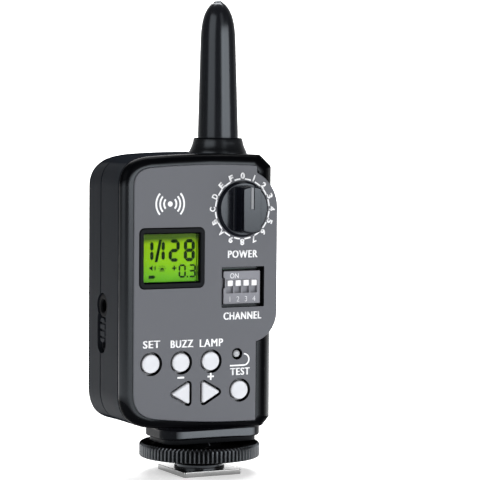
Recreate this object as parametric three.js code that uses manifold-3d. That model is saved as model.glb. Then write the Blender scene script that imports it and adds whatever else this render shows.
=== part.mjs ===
// Wireless flash trigger: handheld transmitter with a stub antenna on top and a hot-shoe foot below.
// Millimetres, +Z up, the control panel faces -Y. The origin is the centre of the foot's bottom face.
import * as THREE from 'three';
import { mergeVertices } from 'three/addons/utils/BufferGeometryUtils.js';
import Module from 'manifold-3d';

const wasm = await Module();
wasm.setup();

// ---- driving dimensions -------------------------------------------------------------------------
const GAP = 0.3;                       // clearance between neighbouring mouldings
const LEFT = -30.4, RIGHT = 16.4;      // body sides
const TOP = 91.8, BOTTOM = 14.0;       // ends of the straight body sides' corners
const Y_FACE = -13.5;                  // face of the control panel
const Y_COVER = -13.2;                 // face of the black front cover around the panel
const Y_SEAM = -10.5;                  // front cover to mid shell
const Y_PART = 2.0;                    // mid shell to rear cover
const Y_BACK = 11.2;                   // back of the rear cover
const WALL = 1.8;
const PANEL_L = -27.0, PANEL_R = 11.4; // straight sides of the grey panel
const PANEL_T = 1.5;
const LOBE_R = 11.3;                   // lobe around the dial
const DIAL = { x: 6.6, z: 76.7, r: 8.0, bar: 5.2, barR: 6.8, low: -14.6, high: -19.9 };
const LCD = { x: -15.3, z: 63.2, w: 20.0, h: 16.9, inW: 17.2, inH: 13.7 };
const DIP = { x: 7.1, z: 54.5, w: 11.7, h: 9.7, pitch: 2.54, front: -12.5,
  slotW: 1.4, slotZ: 54.6, slotH: 3.8 };
const BUTTON_R = 2.65, BUTTON_HOLE_R = 3.1, BUTTON_TOP = -14.1, BUTTON_TRAVEL = 0.5;
const ROUND_BUTTONS = { set: [-21.7, 33.75], buzz: [-12.4, 33.75], lamp: [-3.1, 33.75], test: [6.0, 25.1] };
const ARROW = { w: 5.7, h: 6.5, z: 24.95, minusX: -12.6, plusX: -2.9, round: 0.7 };
const LED = { x: 5.2, z: 35.5, r: 1.05 };
const ANTENNA = { x: 4.8, y: -1.0, base: 96.9, top: 135.9, r: 5.86 };
const COLLAR = { z0: 92.6, z1: 96.6, r0: 8.45, r1: 6.9 };
const SIDE = { y: 1.1, w: 5.8, z0: 35.6, z1: 48.0, jackY: 0.6, jackZ: 49.2, jackR: 3.3,
  knobZ: 42.2, knobH: 7.0, knobW: 3.2 };
const SIDE_TRAVEL = 1.6;
const PEDESTAL = { w: 31.5, d: 18.2, r: 4.9, z0: 11.0, x: 0.95, flare: 1.3, stepZ: 9.3, step: 1.2 };
const RING = { r: 17.44, z0: 4.8, z1: 8.9, teeth: 84, recessR: 14.7, recessZ: 6.9, bore: 6.28 };
const STUD_R = 6.2;
const FOOT = { w: 18.3, d: 18.4, t: 1.6, neckR: 7.3, neckZ: 3.0 };
const CELL = { r: 5.15, l: 44.0, y: 4.1, z0: 22.2, x: -7.0, pitch: 11.0 };
const TRAY = { w: 25.0, y0: -2.6, y1: 8.9, z0: 17.8, z1: 70.6, wall: 1.0 };
const DOOR = { w: 27.0, z1: 66.0 };
const PCB = { y0: -6.6, y1: -5.4 };

// ---- materials ----------------------------------------------------------------------------------
const paint = (color, roughness, metalness = 0) => () =>
  new THREE.MeshStandardMaterial({ color, roughness, metalness });
const BLACK = paint(0x1b1c1e, 0.5);
const SHELL = paint(0x2c2e30, 0.6);
const GREY = paint(0x6e7076, 0.42);
const GLOSS = paint(0x0d0e10, 0.2);
const WHITE = paint(0xe8eaf0, 0.35);
const STEEL = paint(0xd4d6d8, 0.22, 1);
const BRASS = paint(0xc9a45a, 0.3, 1);
const GREEN_BOARD = paint(0x1f5a35, 0.5);
const LCD_GREEN = paint(0x86b81c, 0.3);
const CLEAR = paint(0xa9c46a, 0.1);
const DIP_GREY = paint(0x9a9aa2, 0.45);
const CELL_SKIN = paint(0x3a4a60, 0.35, 0.3);

// ---- solids and meshes --------------------------------------------------------------------------
function solid(geometry) {
  const g = geometry.clone();
  g.deleteAttribute('normal');
  g.deleteAttribute('uv');
  const m = mergeVertices(g, 1e-5);
  return new wasm.Manifold(new wasm.Mesh({
    numProp: 3,
    vertProperties: new Float32Array(m.attributes.position.array),
    triVerts: new Uint32Array(m.index.array),
  }));
}

function geometryOf(manifold) {
  const mesh = manifold.getMesh();
  const g = new THREE.BufferGeometry();
  g.setAttribute('position', new THREE.BufferAttribute(new Float32Array(mesh.vertProperties), 3));
  g.setIndex(new THREE.BufferAttribute(new Uint32Array(mesh.triVerts), 1));
  g.computeVertexNormals();
  return g;
}

const object = new THREE.Group();
object.name = 'wireless_flash_trigger';

function piece(name, shape, material) {
  const geometry = shape instanceof THREE.BufferGeometry ? shape : geometryOf(shape);
  const mesh = new THREE.Mesh(geometry, material());
  mesh.name = name;
  object.add(mesh);
  return mesh;
}

const join = (first, ...rest) => rest.reduce((a, b) => a.add(b), first);
const cut = (first, ...rest) => rest.reduce((a, b) => a.subtract(b), first);

const box = (x0, x1, y0, y1, z0, z1) => solid(new THREE.BoxGeometry(x1 - x0, y1 - y0, z1 - z0)
  .translate((x0 + x1) / 2, (y0 + y1) / 2, (z0 + z1) / 2));

const cylinderY = (x, z, r, y0, y1, n = 20) => solid(new THREE.CylinderGeometry(r, r, y1 - y0, n)
  .translate(x, (y0 + y1) / 2, z));

const cylinderX = (y, z, r, x0, x1, n = 20) => solid(new THREE.CylinderGeometry(r, r, x1 - x0, n)
  .rotateZ(Math.PI / 2).translate((x0 + x1) / 2, y, z));

const cylinderZ = (x, y, r, z0, z1, n = 20) => solid(new THREE.CylinderGeometry(r, r, z1 - z0, n)
  .rotateX(Math.PI / 2).translate(x, y, (z0 + z1) / 2));

// A profile of [radius, height] pairs turned about an upright axis at (x, y).
const turned = (profile, x, y, n = 28) => solid(new THREE.LatheGeometry(
  profile.map(([r, z]) => new THREE.Vector2(r, z)), n).rotateX(Math.PI / 2).translate(x, y, 0));

// A profile of [radius, y] pairs turned about an axis along Y at (x, z).
const turnedY = (profile, x, z, n = 20) => solid(new THREE.LatheGeometry(
  profile.map(([r, y]) => new THREE.Vector2(r, y)), n).translate(x, 0, z));

// An outline in X and Z, extruded from y0 to y1. A bevel rounds both ends inwards.
function slab(shape, y0, y1, bevel = 0, segments = 3) {
  const options = bevel
    ? { depth: y1 - y0 - 2 * bevel, bevelEnabled: true, bevelThickness: bevel, bevelSize: bevel,
        bevelOffset: -bevel, bevelSegments: segments }
    : { depth: y1 - y0, bevelEnabled: false };
  return solid(new THREE.ExtrudeGeometry(shape, options)
    .translate(0, 0, bevel).rotateX(Math.PI / 2).translate(0, y1, 0));
}

// An outline in X and Y, extruded from z0 to z1.
function tower(shape, z0, z1) {
  return solid(new THREE.ExtrudeGeometry(shape, { depth: z1 - z0, bevelEnabled: false })
    .translate(0, 0, z0));
}

// An outline in Y and Z, extruded from x0 to x1.
function sideSlab(shape, x0, x1) {
  return solid(new THREE.ExtrudeGeometry(shape, { depth: x1 - x0, bevelEnabled: false })
    .rotateX(Math.PI / 2).rotateZ(Math.PI / 2).translate(x0, 0, 0));
}

function roundedRect(cx, cy, w, h, r) {
  const s = new THREE.Shape();
  const x0 = cx - w / 2, x1 = cx + w / 2, y0 = cy - h / 2, y1 = cy + h / 2;
  s.moveTo(x0 + r, y0);
  s.lineTo(x1 - r, y0);
  s.absarc(x1 - r, y0 + r, r, -Math.PI / 2, 0);
  s.lineTo(x1, y1 - r);
  s.absarc(x1 - r, y1 - r, r, 0, Math.PI / 2);
  s.lineTo(x0 + r, y1);
  s.absarc(x0 + r, y1 - r, r, Math.PI / 2, Math.PI);
  s.lineTo(x0, y0 + r);
  s.absarc(x0 + r, y0 + r, r, Math.PI, Math.PI * 1.5);
  return new THREE.Shape(tidy(s.getPoints(4)));
}

// Points of an outline with repeats left out.
function tidy(points) {
  const kept = points.filter((p, i) => i === 0 || p.distanceTo(points[i - 1]) > 1e-3);
  if (kept[0].distanceTo(kept[kept.length - 1]) < 1e-3) kept.pop();
  return kept;
}

// An outline moved inwards by d (outwards when d is negative), with mitred corners.
function inset(shape, d) {
  const p = tidy(shape.getPoints());
  const sign = THREE.ShapeUtils.isClockWise(p) ? -1 : 1;
  const n = p.length;
  return new THREE.Shape(p.map((b, i) => {
    const a = p[(i + n - 1) % n], c = p[(i + 1) % n];
    const u = b.clone().sub(a).normalize(), v = c.clone().sub(b).normalize();
    const nu = new THREE.Vector2(-u.y, u.x), nv = new THREE.Vector2(-v.y, v.x);
    const m = nu.add(nv).normalize();
    const k = (sign * d) / Math.max(0.5, m.dot(nv));
    return new THREE.Vector2(b.x + m.x * k, b.y + m.y * k);
  }));
}

// ---- outlines -----------------------------------------------------------------------------------
function bodyOutline() {
  const s = new THREE.Shape();
  s.moveTo(LEFT, 25.5);
  s.lineTo(LEFT, TOP - 8.6);
  s.bezierCurveTo(LEFT, TOP - 3.5, LEFT + 2.8, TOP - 0.5, LEFT + 9.4, TOP - 0.15);
  s.quadraticCurveTo(-5.0, TOP + 1.1, RIGHT - 3.5, TOP + 0.1);
  s.lineTo(RIGHT, TOP - 3.2);
  s.lineTo(RIGHT, BOTTOM + 2.6);
  s.lineTo(RIGHT - 2.4, BOTTOM);
  s.quadraticCurveTo(-3.0, BOTTOM - 0.4, LEFT + 9.9, BOTTOM + 1.3);
  s.bezierCurveTo(LEFT + 3.9, BOTTOM + 1.9, LEFT, BOTTOM + 4.5, LEFT, 25.5);
  return new THREE.Shape(tidy(s.getPoints(5)));
}

function panelOutline() {
  const s = new THREE.Shape();
  s.moveTo(PANEL_L, 26.0);
  s.lineTo(PANEL_L, 83.4);
  s.bezierCurveTo(PANEL_L, 86.7, PANEL_L + 1.8, 88.35, PANEL_L + 5.5, 88.6);
  s.quadraticCurveTo(-4.0, 89.95, PANEL_R, 88.95);
  const a = Math.acos((PANEL_R - DIAL.x) / LOBE_R);
  s.absarc(DIAL.x, DIAL.z, LOBE_R, a, 0, true);
  const low = 8.6, x = DIAL.x + LOBE_R - low, z = 47.05;
  s.absarc(x, z, low, 0, -Math.acos((PANEL_R - x) / low), true);
  s.lineTo(PANEL_R, 16.1);
  s.quadraticCurveTo(-4.0, 15.9, PANEL_L + 7.0, 18.0);
  s.bezierCurveTo(PANEL_L + 3.0, 18.5, PANEL_L, 20.5, PANEL_L, 26.0);
  return new THREE.Shape(tidy(s.getPoints(5)));
}

// A triangle with rounded corners, pointing towards -X when side is -1 and +X when it is +1.
function arrowOutline(cx, cz, w, h, r, side) {
  const corners = [[w / 2, 0], [-w / 2, h / 2], [-w / 2, -h / 2]]
    .map(([x, z]) => new THREE.Vector2(cx + side * x, cz + z));
  const points = [];
  corners.forEach((b, i) => {
    const a = corners[(i + 2) % 3], c = corners[(i + 1) % 3];
    const p = b.clone().add(a.clone().sub(b).setLength(r * 1.5));
    const q = b.clone().add(c.clone().sub(b).setLength(r * 1.5));
    for (let k = 0; k <= 4; k += 1) {
      const t = k / 4;
      points.push(new THREE.Vector2(
        (1 - t) ** 2 * p.x + 2 * t * (1 - t) * b.x + t * t * q.x,
        (1 - t) ** 2 * p.y + 2 * t * (1 - t) * b.y + t * t * q.y));
    }
  });
  return new THREE.Shape(points);
}

const BODY = bodyOutline();
const PANEL = panelOutline();
const arrowAt = (x, side, grow = 0) =>
  inset(arrowOutline(x, ARROW.z, ARROW.w, ARROW.h, ARROW.round, side), -grow);

// ---- openings shared by the panel and the cover -------------------------------------------------
function controlOpenings(y0, y1) {
  return [
    slab(roundedRect(LCD.x, LCD.z, LCD.w + 2 * GAP, LCD.h + 2 * GAP, 1.7), y0, y1),
    box(DIP.x - DIP.w / 2 - 0.75, DIP.x + DIP.w / 2 + 0.75, y0, y1,
      DIP.z - DIP.h / 2 - 0.9, DIP.z + DIP.h / 2 + 0.9),
    cylinderY(DIAL.x, DIAL.z, 3.4, y0, y1),
    cylinderY(LED.x, LED.z, LED.r + 0.35, y0, y1, 16),
    ...Object.values(ROUND_BUTTONS).map(([x, z]) => cylinderY(x, z, BUTTON_HOLE_R, y0, y1)),
    slab(arrowAt(ARROW.minusX, -1, 0.4), y0, y1),
    slab(arrowAt(ARROW.plusX, 1, 0.4), y0, y1),
  ];
}

// ---- front: panel and cover ---------------------------------------------------------------------
function frontPanel() {
  const plate = slab(PANEL, Y_FACE, Y_FACE + PANEL_T, 0.2, 1);
  return cut(plate, ...controlOpenings(Y_FACE - 1, Y_FACE + PANEL_T + 1));
}

function frontCover() {
  const floor = Y_FACE + PANEL_T + 0.25;
  const shell = slab(BODY, Y_COVER, Y_COVER + 12, 2.6, 3)
    .intersect(box(-60, 60, -30, Y_SEAM, 0, 120));
  const lobe = slab(inset(PANEL, 0.4), floor, Y_SEAM);
  return cut(join(shell, lobe),
    slab(inset(PANEL, -0.25), Y_COVER - 3, floor),
    slab(inset(BODY, WALL), floor + 0.85, Y_SEAM + 1),
    ...controlOpenings(Y_COVER - 2, Y_SEAM + 1));
}

// ---- housing ------------------------------------------------------------------------------------
const SCREWS = [[-26.2, 27.0], [-26.2, 82.0], [12.6, 27.0], [12.6, 82.0]];

function obround(w, h, cy, cz) {
  return roundedRect(cy, cz, w, h, w / 2 - 0.01);
}

const sideOpening = () => join(
  sideSlab(obround(SIDE.w, SIDE.z1 - SIDE.z0, SIDE.y, (SIDE.z0 + SIDE.z1) / 2), LEFT - 1, LEFT + WALL + 0.4),
  cylinderX(SIDE.jackY, SIDE.jackZ, SIDE.jackR + 0.3, LEFT - 1, LEFT + WALL + 0.4, 28));

function midShell() {
  const tube = cut(slab(BODY, Y_SEAM + 0.25, Y_PART - 0.15),
    slab(inset(BODY, WALL), Y_SEAM - 1, Y_PART + 1));
  const bosses = SCREWS.map(([x, z]) => box(
    x < 0 ? LEFT + 1 : x - 2.4, x < 0 ? x + 2.4 : RIGHT - 1, -4.4, Y_PART - 0.15, z - 2.4, z + 2.4));
  return cut(join(tube, ...bosses),
    sideOpening(),
    cylinderZ(ANTENNA.x, ANTENNA.y, 2.2, 86, 96),
    cylinderZ(0, 0, STUD_R + 0.3, 10, 18, 32),
    ...SCREWS.map(([x, z]) => cylinderY(x, z, 1.2, -3.6, Y_PART + 1, 12)));
}

function rearCover() {
  const shell = slab(BODY, Y_BACK - 20, Y_BACK, 2.0, 2)
    .intersect(box(-60, 60, Y_PART + 0.15, 40, 0, 120));
  const hollow = slab(inset(BODY, WALL), Y_PART - 1, Y_BACK - WALL);
  const bosses = SCREWS.map(([x, z]) => box(
    x < 0 ? LEFT + 1 : x - 2.4, x < 0 ? x + 2.4 : RIGHT - 1, Y_PART + 0.15, Y_BACK - 1, z - 2.4, z + 2.4));
  const doorway = box(CELL.x - DOOR.w / 2, CELL.x + DOOR.w / 2, Y_BACK - WALL - 0.4, Y_BACK + 1,
    BOTTOM - 3, DOOR.z1);
  return cut(join(cut(shell, hollow), ...bosses),
    doorway,
    sideOpening(),
    cylinderZ(0, 0, STUD_R + 0.3, 10, 18, 32),
    ...SCREWS.map(([x, z]) => join(
      cylinderY(x, z, 1.2, Y_PART - 1, Y_BACK + 1, 12), cylinderY(x, z, 2.0, Y_BACK - 1.7, Y_BACK + 1, 16))));
}

function batteryDoor() {
  const x0 = CELL.x - DOOR.w / 2 + GAP, x1 = CELL.x + DOOR.w / 2 - GAP;
  const skin = slab(BODY, Y_BACK - 20, Y_BACK, 2.0, 2)
    .intersect(box(x0, x1, Y_BACK - WALL, Y_BACK + 1, BOTTOM - 3, DOOR.z1 - GAP));
  const grooves = [0, 1, 2, 3, 4].map((i) => box(CELL.x - 5.5 + 0.5 * i, CELL.x + 5.5 - 0.5 * i,
    Y_BACK - 0.4, Y_BACK + 1, 57.0 - 1.6 * i, 57.8 - 1.6 * i));
  return cut(skin, ...grooves);
}

function caseScrew([x, z]) {
  const top = Y_BACK - 0.5;
  const screw = turnedY([[0, -2.8], [0.85, -2.8], [0.85, top - 1.0], [1.7, top - 1.0], [1.7, top - 0.3],
    [1.3, top], [0, top]], x, z, 12);
  return cut(screw, box(x - 1.1, x + 1.1, top - 0.55, top + 1, z - 0.22, z + 0.22),
    box(x - 0.22, x + 0.22, top - 0.55, top + 1, z - 1.1, z + 1.1));
}

// ---- antenna ------------------------------------------------------------------------------------
function antennaCollar() {
  return turned([[2.2, COLLAR.z0], [COLLAR.r0, COLLAR.z0], [COLLAR.r0 - 0.15, COLLAR.z0 + 0.7],
    [COLLAR.r1 + 0.3, COLLAR.z1 - 0.9], [COLLAR.r1 + 0.05, COLLAR.z1 - 0.25], [COLLAR.r1 - 0.25, COLLAR.z1],
    [2.2, COLLAR.z1], [2.2, COLLAR.z0]], ANTENNA.x, ANTENNA.y);
}

function antennaSleeve() {
  const { base, top, r } = ANTENNA;
  return turned([[2.0, base], [r, base], [r, base + 0.6], [5.54, 110.0], [5.14, 123.5], [4.95, 127.8],
    [4.55, 131.0], [3.85, 133.0], [2.8, 134.4], [1.75, top - 0.8], [1.5, top - 0.6], [0.95, top - 0.15],
    [0.5, top], [0, top], [0, 131.0], [2.0, 131.0], [2.0, base]], ANTENNA.x, ANTENNA.y);
}

function antennaCore() {
  return turned([[0, 85.0], [1.2, 85.0], [1.2, 98.0], [1.6, 98.6], [1.6, 129.4], [1.1, 130.2], [0, 130.2]],
    ANTENNA.x, ANTENNA.y, 12);
}

// ---- hot-shoe foot and clamp --------------------------------------------------------------------
function pedestalOutline(w, d, r, x) {
  const points = [];
  [[1, -1], [1, 1], [-1, 1], [-1, -1]].forEach(([sx, sy], corner) => {
    for (let k = 0; k <= 5; k += 1) {
      const a = ((corner - 1 + k / 5) * Math.PI) / 2;
      points.push(new THREE.Vector2(x + sx * (w / 2 - r) + r * Math.cos(a),
        sy * (d / 2 - r) + r * Math.sin(a)));
    }
  });
  return new THREE.Shape(points);
}

function shoePedestal() {
  const { w, d, r, z0, x, flare, stepZ, step } = PEDESTAL;
  const outline = pedestalOutline(w, d, r, x);
  const foot = solid(new THREE.ExtrudeGeometry(outline, { depth: 5.0, bevelEnabled: true,
    bevelThickness: 0.6, bevelSize: 0.6, bevelOffset: -0.6, bevelSegments: 2 }).translate(0, 0, z0 + 0.6));
  const lip = solid(new THREE.ExtrudeGeometry(outline, { depth: 3.0, bevelEnabled: true,
    bevelThickness: 1.5, bevelSize: flare, bevelOffset: 0, bevelSegments: 2 }).translate(0, 0, z0 + 3.1));
  const base = tower(pedestalOutline(w - 2 * step, d - 2 * step, r - step, x), stepZ, z0 + 0.5);
  return cut(join(foot, lip, base),
    slab(inset(BODY, -0.25), -40, 40),
    box(-40, 40, Y_BACK - WALL - 0.7, 40, 0, 40),
    cylinderZ(0, 0, STUD_R + 0.25, 5, 20, 32));
}

function lockRing() {
  const { r, z0, z1, teeth, recessR, recessZ, bore } = RING;
  const rim = new THREE.Shape(Array.from({ length: teeth * 2 }, (_, i) => {
    const a = (i / teeth) * Math.PI;
    const radius = i % 2 ? r : r - 0.6;
    return new THREE.Vector2(radius * Math.cos(a), radius * Math.sin(a));
  }));
  const cone = turned([[0, z0 - 1.0], [r - 1.7, z0 - 1.0], [r + 0.9, z0 + 1.6], [r + 0.9, z1 - 1.0],
    [r - 0.7, z1 + 0.6], [0, z1 + 0.6]], 0, 0, 42);
  return cut(tower(rim, z0, z1).intersect(cone),
    cylinderZ(0, 0, recessR, recessZ, z1 + 1, 36),
    cylinderZ(0, 0, bore, z0 - 1, z1 + 1, 32));
}

function clampWasher() {
  const z = RING.recessZ + 0.25;
  return turned([[RING.bore, z], [RING.recessR - 0.4, z], [RING.recessR - 0.4, z + 0.5],
    [RING.recessR - 0.8, z + 0.9], [RING.bore, z + 0.9], [RING.bore, z]], 0, 0, 32);
}

function shoeStud() {
  const z = FOOT.neckZ + 0.25;
  return turned([[1.9, z], [STUD_R, z], [STUD_R, 16.6], [8.4, 16.6], [8.4, 17.4], [1.9, 17.4], [1.9, z]],
    0, 0, 32);
}

function shoeFoot() {
  const plate = tower(roundedRect(0, 0, FOOT.w, FOOT.d, 0.8), 0, FOOT.t);
  const neck = cylinderZ(0, 0, FOOT.neckR, FOOT.t - 0.2, FOOT.neckZ, 48);
  return cut(join(plate, neck), cylinderZ(0, 0, 1.9, -1, 5));
}

const contactSleeve = () => turned([[0.85, 0], [1.75, 0], [1.75, 4.5], [0.85, 4.5], [0.85, 0]], 0, 0, 16);
const contactPin = () => cylinderZ(0, 0, 0.75, 0, 6.0, 16);

// ---- dial ---------------------------------------------------------------------------------------
function dialKnob() {
  const { x, z, r, bar, barR, low, high } = DIAL;
  const disc = turnedY([[0, low], [r - 0.9, low], [r, low + 0.6], [r, Y_FACE - 0.25], [0, Y_FACE - 0.25]],
    x, z, 32);
  const grip = turnedY([[0, high], [barR - 0.6, high], [barR, high + 0.6], [barR, low + 0.2], [0, low + 0.2]],
    x, z, 32);
  const crown = slab(roundedRect(x, z, bar, 2 * r + 2, 0.8), high, high + 10, 0.3, 1);
  const mark = box(x - 0.5, x + 0.5, high - 1, high + 0.25, z, z + r);
  const stem = cylinderY(x, z, 3.0, Y_FACE - 0.3, -10.9);
  return cut(join(grip.intersect(crown), disc, stem), mark);
}

const rotarySwitch = () => join(
  box(DIAL.x - 5.2, DIAL.x + 5.2, -10.1, PCB.y0 - 0.25, DIAL.z - 5.2, DIAL.z + 5.2),
  cylinderY(DIAL.x, DIAL.z, 3.6, -10.5, -9.9));

// ---- display ------------------------------------------------------------------------------------
function lcdFrame() {
  const { x, z, w, h, inW, inH } = LCD;
  const frame = slab(roundedRect(x, z, w, h, 1.5), Y_FACE - 0.35, -8.6, 0.3, 1);
  const mouth = solid(new THREE.CylinderGeometry(Math.SQRT1_2, Math.SQRT1_2, 1, 4, 1).rotateY(Math.PI / 4)
    .scale(inW, 20, inH).translate(x, -10, z));
  return cut(frame, mouth);
}

const lcdPane = (y0, y1) => box(LCD.x - LCD.inW / 2 + 0.15, LCD.x + LCD.inW / 2 - 0.15, y0, y1,
  LCD.z - LCD.inH / 2 + 0.15, LCD.z + LCD.inH / 2 - 0.15);

// ---- channel switch -----------------------------------------------------------------------------
const slotX = (i) => DIP.x + (i - 1.5) * DIP.pitch;

function dipBody() {
  const { x, z, w, h, front, slotW, slotZ, slotH } = DIP;
  const block = box(x - w / 2, x + w / 2, front, -7.0, z - h / 2, z + h / 2);
  const slots = [0, 1, 2, 3].map((i) => box(
    slotX(i) - slotW / 2, slotX(i) + slotW / 2, front - 1, front + 2.0,
    slotZ - slotH / 2, slotZ + slotH / 2));
  const notch = box(x - w / 2 - 1, x - w / 2 + 0.5, front - 1, front + 1.2, z - 0.4, z + 2.6);
  return cut(block, ...slots, notch);
}

const dipSlider = (i) => box(slotX(i) - 0.6, slotX(i) + 0.6, DIP.front - 0.3, DIP.front + 1.7,
  DIP.slotZ + DIP.slotH / 2 - 1.75, DIP.slotZ + DIP.slotH / 2 - 0.1);

// ---- push buttons -------------------------------------------------------------------------------
function roundButton([x, z]) {
  const r = BUTTON_R, y = BUTTON_TOP;
  return turnedY([[0, y], [r - 0.7, y + 0.12], [r - 0.15, y + 0.4], [r, y + 0.8],
    [r, -10.3], [r + 1.0, -10.3], [r + 1.0, -9.7], [1.2, -9.7], [1.2, -9.2], [0, -9.2]], x, z);
}

function arrowButton(x, side) {
  const shape = arrowOutline(x, ARROW.z, ARROW.w, ARROW.h, ARROW.round, side);
  return join(
    slab(shape, BUTTON_TOP, -9.9, 0.3, 2),
    slab(inset(shape, -0.8), -10.3, -9.7),
    cylinderY(x, ARROW.z, 1.2, -9.8, -9.2, 20));
}

const tactSwitch = ([x, z]) => join(
  box(x - 2.2, x + 2.2, -8.1, PCB.y0 - 0.25, z - 2.2, z + 2.2), cylinderY(x, z, 1.1, -8.45, -7.9, 20));

function ledLens() {
  const { x, z, r } = LED;
  return turnedY([[0, Y_FACE - 0.15], [r * 0.6, Y_FACE - 0.05], [r, Y_FACE + 0.35], [r, -7.2], [0, -7.2]],
    x, z, 16);
}

// ---- left side: sync jack and power switch ------------------------------------------------------
function sidePlate() {
  const { y, w, z0, z1, knobW, knobZ, knobH } = SIDE;
  const outer = sideSlab(obround(w - 2 * GAP, z1 - z0 - 2 * GAP, y, (z0 + z1) / 2), LEFT + 1.3, LEFT + 2.6);
  const body = box(LEFT + 2.4, LEFT + 6.2, y - 2.6, y + 2.6, z0 + 0.6, z1 - 2.6);
  return cut(join(outer, body),
    box(LEFT, LEFT + 8, y - 6, y + 6, z1 - 2.7, z1 + 1),
    box(LEFT, LEFT + 3.4, y - knobW / 2 - 0.25, y + knobW / 2 + 0.25,
      knobZ - knobH / 2 - SIDE_TRAVEL - 0.2, z1));
}

function powerSlider() {
  const { y, knobZ: z, knobW: w, knobH: h } = SIDE;
  const knob = sideSlab(roundedRect(y, z, w, h, 1.2), LEFT + 0.25, LEFT + 3.1);
  return cut(knob, ...[-2.0, 0, 2.0].map((dz) =>
    box(LEFT - 1, LEFT + 0.8, y - w, y + w, z + dz - 0.35, z + dz + 0.35)));
}

function syncJack() {
  const { jackY: y, jackZ: z, jackR: r } = SIDE;
  const barrel = join(cylinderX(y, z, r, LEFT + 0.3, LEFT + 3.2, 24),
    box(LEFT + 2.6, LEFT + 10.2, y - 3.2, y + 3.2, z - 3.2, z + 3.2));
  return cut(barrel, cylinderX(y, z, 1.8, LEFT - 1, LEFT + 9.2));
}

// ---- inside -------------------------------------------------------------------------------------
function mainBoard() {
  const board = slab(inset(BODY, WALL + 0.4), PCB.y0, PCB.y1);
  return cut(board, cylinderZ(ANTENNA.x, ANTENNA.y, 8.0, 88, 96), box(-16, 16, -20, 20, 0, 17.9));
}

function batteryTray() {
  const { w, y0, y1, z0, z1, wall } = TRAY;
  const x0 = CELL.x - w / 2, x1 = CELL.x + w / 2;
  return cut(box(x0, x1, y0, y1, z0, z1), box(x0 + wall, x1 - wall, y0 + wall, y1 + 1, z0 + wall, z1 - wall));
}

function cell(side) {
  const { r, l, y, z0, x, pitch } = CELL;
  const profile = [[0, 0], [r - 0.4, 0], [r, 0.4], [r, l - 1.2], [r - 0.4, l - 0.8], [1.9, l - 0.8], [1.9, l],
    [0, l]];
  const up = side > 0 ? profile : profile.map(([a, b]) => [a, l - b]).reverse();
  return turned(up.map(([a, b]) => [a, b + z0]), x + side * pitch / 2, y, 20);
}

// A conical contact spring, drawn as the solid that it sweeps.
function contactSpring(side) {
  const { z0, l, y, x, pitch } = CELL;
  const a = side > 0 ? z0 - 0.25 : z0 + l + 0.25, b = side > 0 ? TRAY.z0 + 1.25 : TRAY.z1 - 1.25;
  const profile = [[0, Math.min(a, b)], [side > 0 ? 3.6 : 1.8, Math.min(a, b)],
    [side > 0 ? 1.8 : 3.6, Math.max(a, b)], [0, Math.max(a, b)]];
  return turned(profile, x + side * pitch / 2, y, 14);
}

const contactStrip = () => box(CELL.x - 10, CELL.x - 1.5, 2.1, 6.1, TRAY.z0 + 1.25, TRAY.z0 + 1.75);

// ---- assembly -----------------------------------------------------------------------------------
piece('front_panel', frontPanel(), GREY);
piece('front_cover', frontCover(), BLACK);
piece('mid_shell', midShell(), SHELL);
piece('rear_cover', rearCover(), SHELL);
piece('battery_door', batteryDoor(), SHELL);
SCREWS.forEach((at, i) => piece(`case_screw_${i + 1}`, caseScrew(at), STEEL));

piece('antenna_collar', antennaCollar(), BLACK);
piece('antenna_sleeve', antennaSleeve(), GLOSS);
piece('antenna_core', antennaCore(), BRASS);

piece('shoe_pedestal', shoePedestal(), BLACK);
piece('lock_ring', lockRing(), BLACK);
piece('clamp_washer', clampWasher(), BLACK);
piece('shoe_stud', shoeStud(), BLACK);
piece('shoe_foot', shoeFoot(), STEEL);
piece('contact_sleeve', contactSleeve(), GLOSS);
piece('contact_pin', contactPin(), BRASS);

piece('dial_knob', dialKnob(), GLOSS);
piece('rotary_switch', rotarySwitch(), BLACK);
piece('lcd_frame', lcdFrame(), BLACK);
piece('lcd_glass', lcdPane(Y_FACE + 0.9, Y_FACE + 1.7), CLEAR);
piece('lcd_backlight', lcdPane(Y_FACE + 1.95, -9.0), LCD_GREEN);
piece('dip_body', dipBody(), DIP_GREY);
[0, 1, 2, 3].forEach((i) => piece(`dip_slider_${i + 1}`, dipSlider(i), WHITE));

Object.entries(ROUND_BUTTONS).forEach(([name, at]) => {
  piece(`button_${name}`, roundButton(at), WHITE);
  piece(`tact_switch_${name}`, tactSwitch(at), BLACK);
});
piece('button_minus', arrowButton(ARROW.minusX, -1), WHITE);
piece('tact_switch_minus', tactSwitch([ARROW.minusX, ARROW.z]), BLACK);
piece('button_plus', arrowButton(ARROW.plusX, 1), WHITE);
piece('tact_switch_plus', tactSwitch([ARROW.plusX, ARROW.z]), BLACK);
piece('status_led', ledLens(), CLEAR);

piece('side_plate', sidePlate(), BLACK);
piece('power_slider', powerSlider(), BLACK);
piece('sync_jack', syncJack(), BLACK);

piece('main_board', mainBoard(), GREEN_BOARD);
piece('radio_shield', box(-22.5, -8.5, PCB.y1 + 0.25, PCB.y1 + 2.2, 73, 87), STEEL);
piece('buzzer', cylinderY(-18.8, 24.0, 4.5, PCB.y1 + 0.25, PCB.y1 + 2.5), BLACK);
piece('battery_tray', batteryTray(), BLACK);
piece('cell_1', cell(-1), CELL_SKIN);
piece('cell_2', cell(1), CELL_SKIN);
piece('contact_spring_1', contactSpring(-1), STEEL);
piece('contact_spring_2', contactSpring(1), STEEL);
piece('contact_strip', contactStrip(), STEEL);

export default object;
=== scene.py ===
import bpy, bmesh, math
from mathutils import Matrix, Vector


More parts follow.
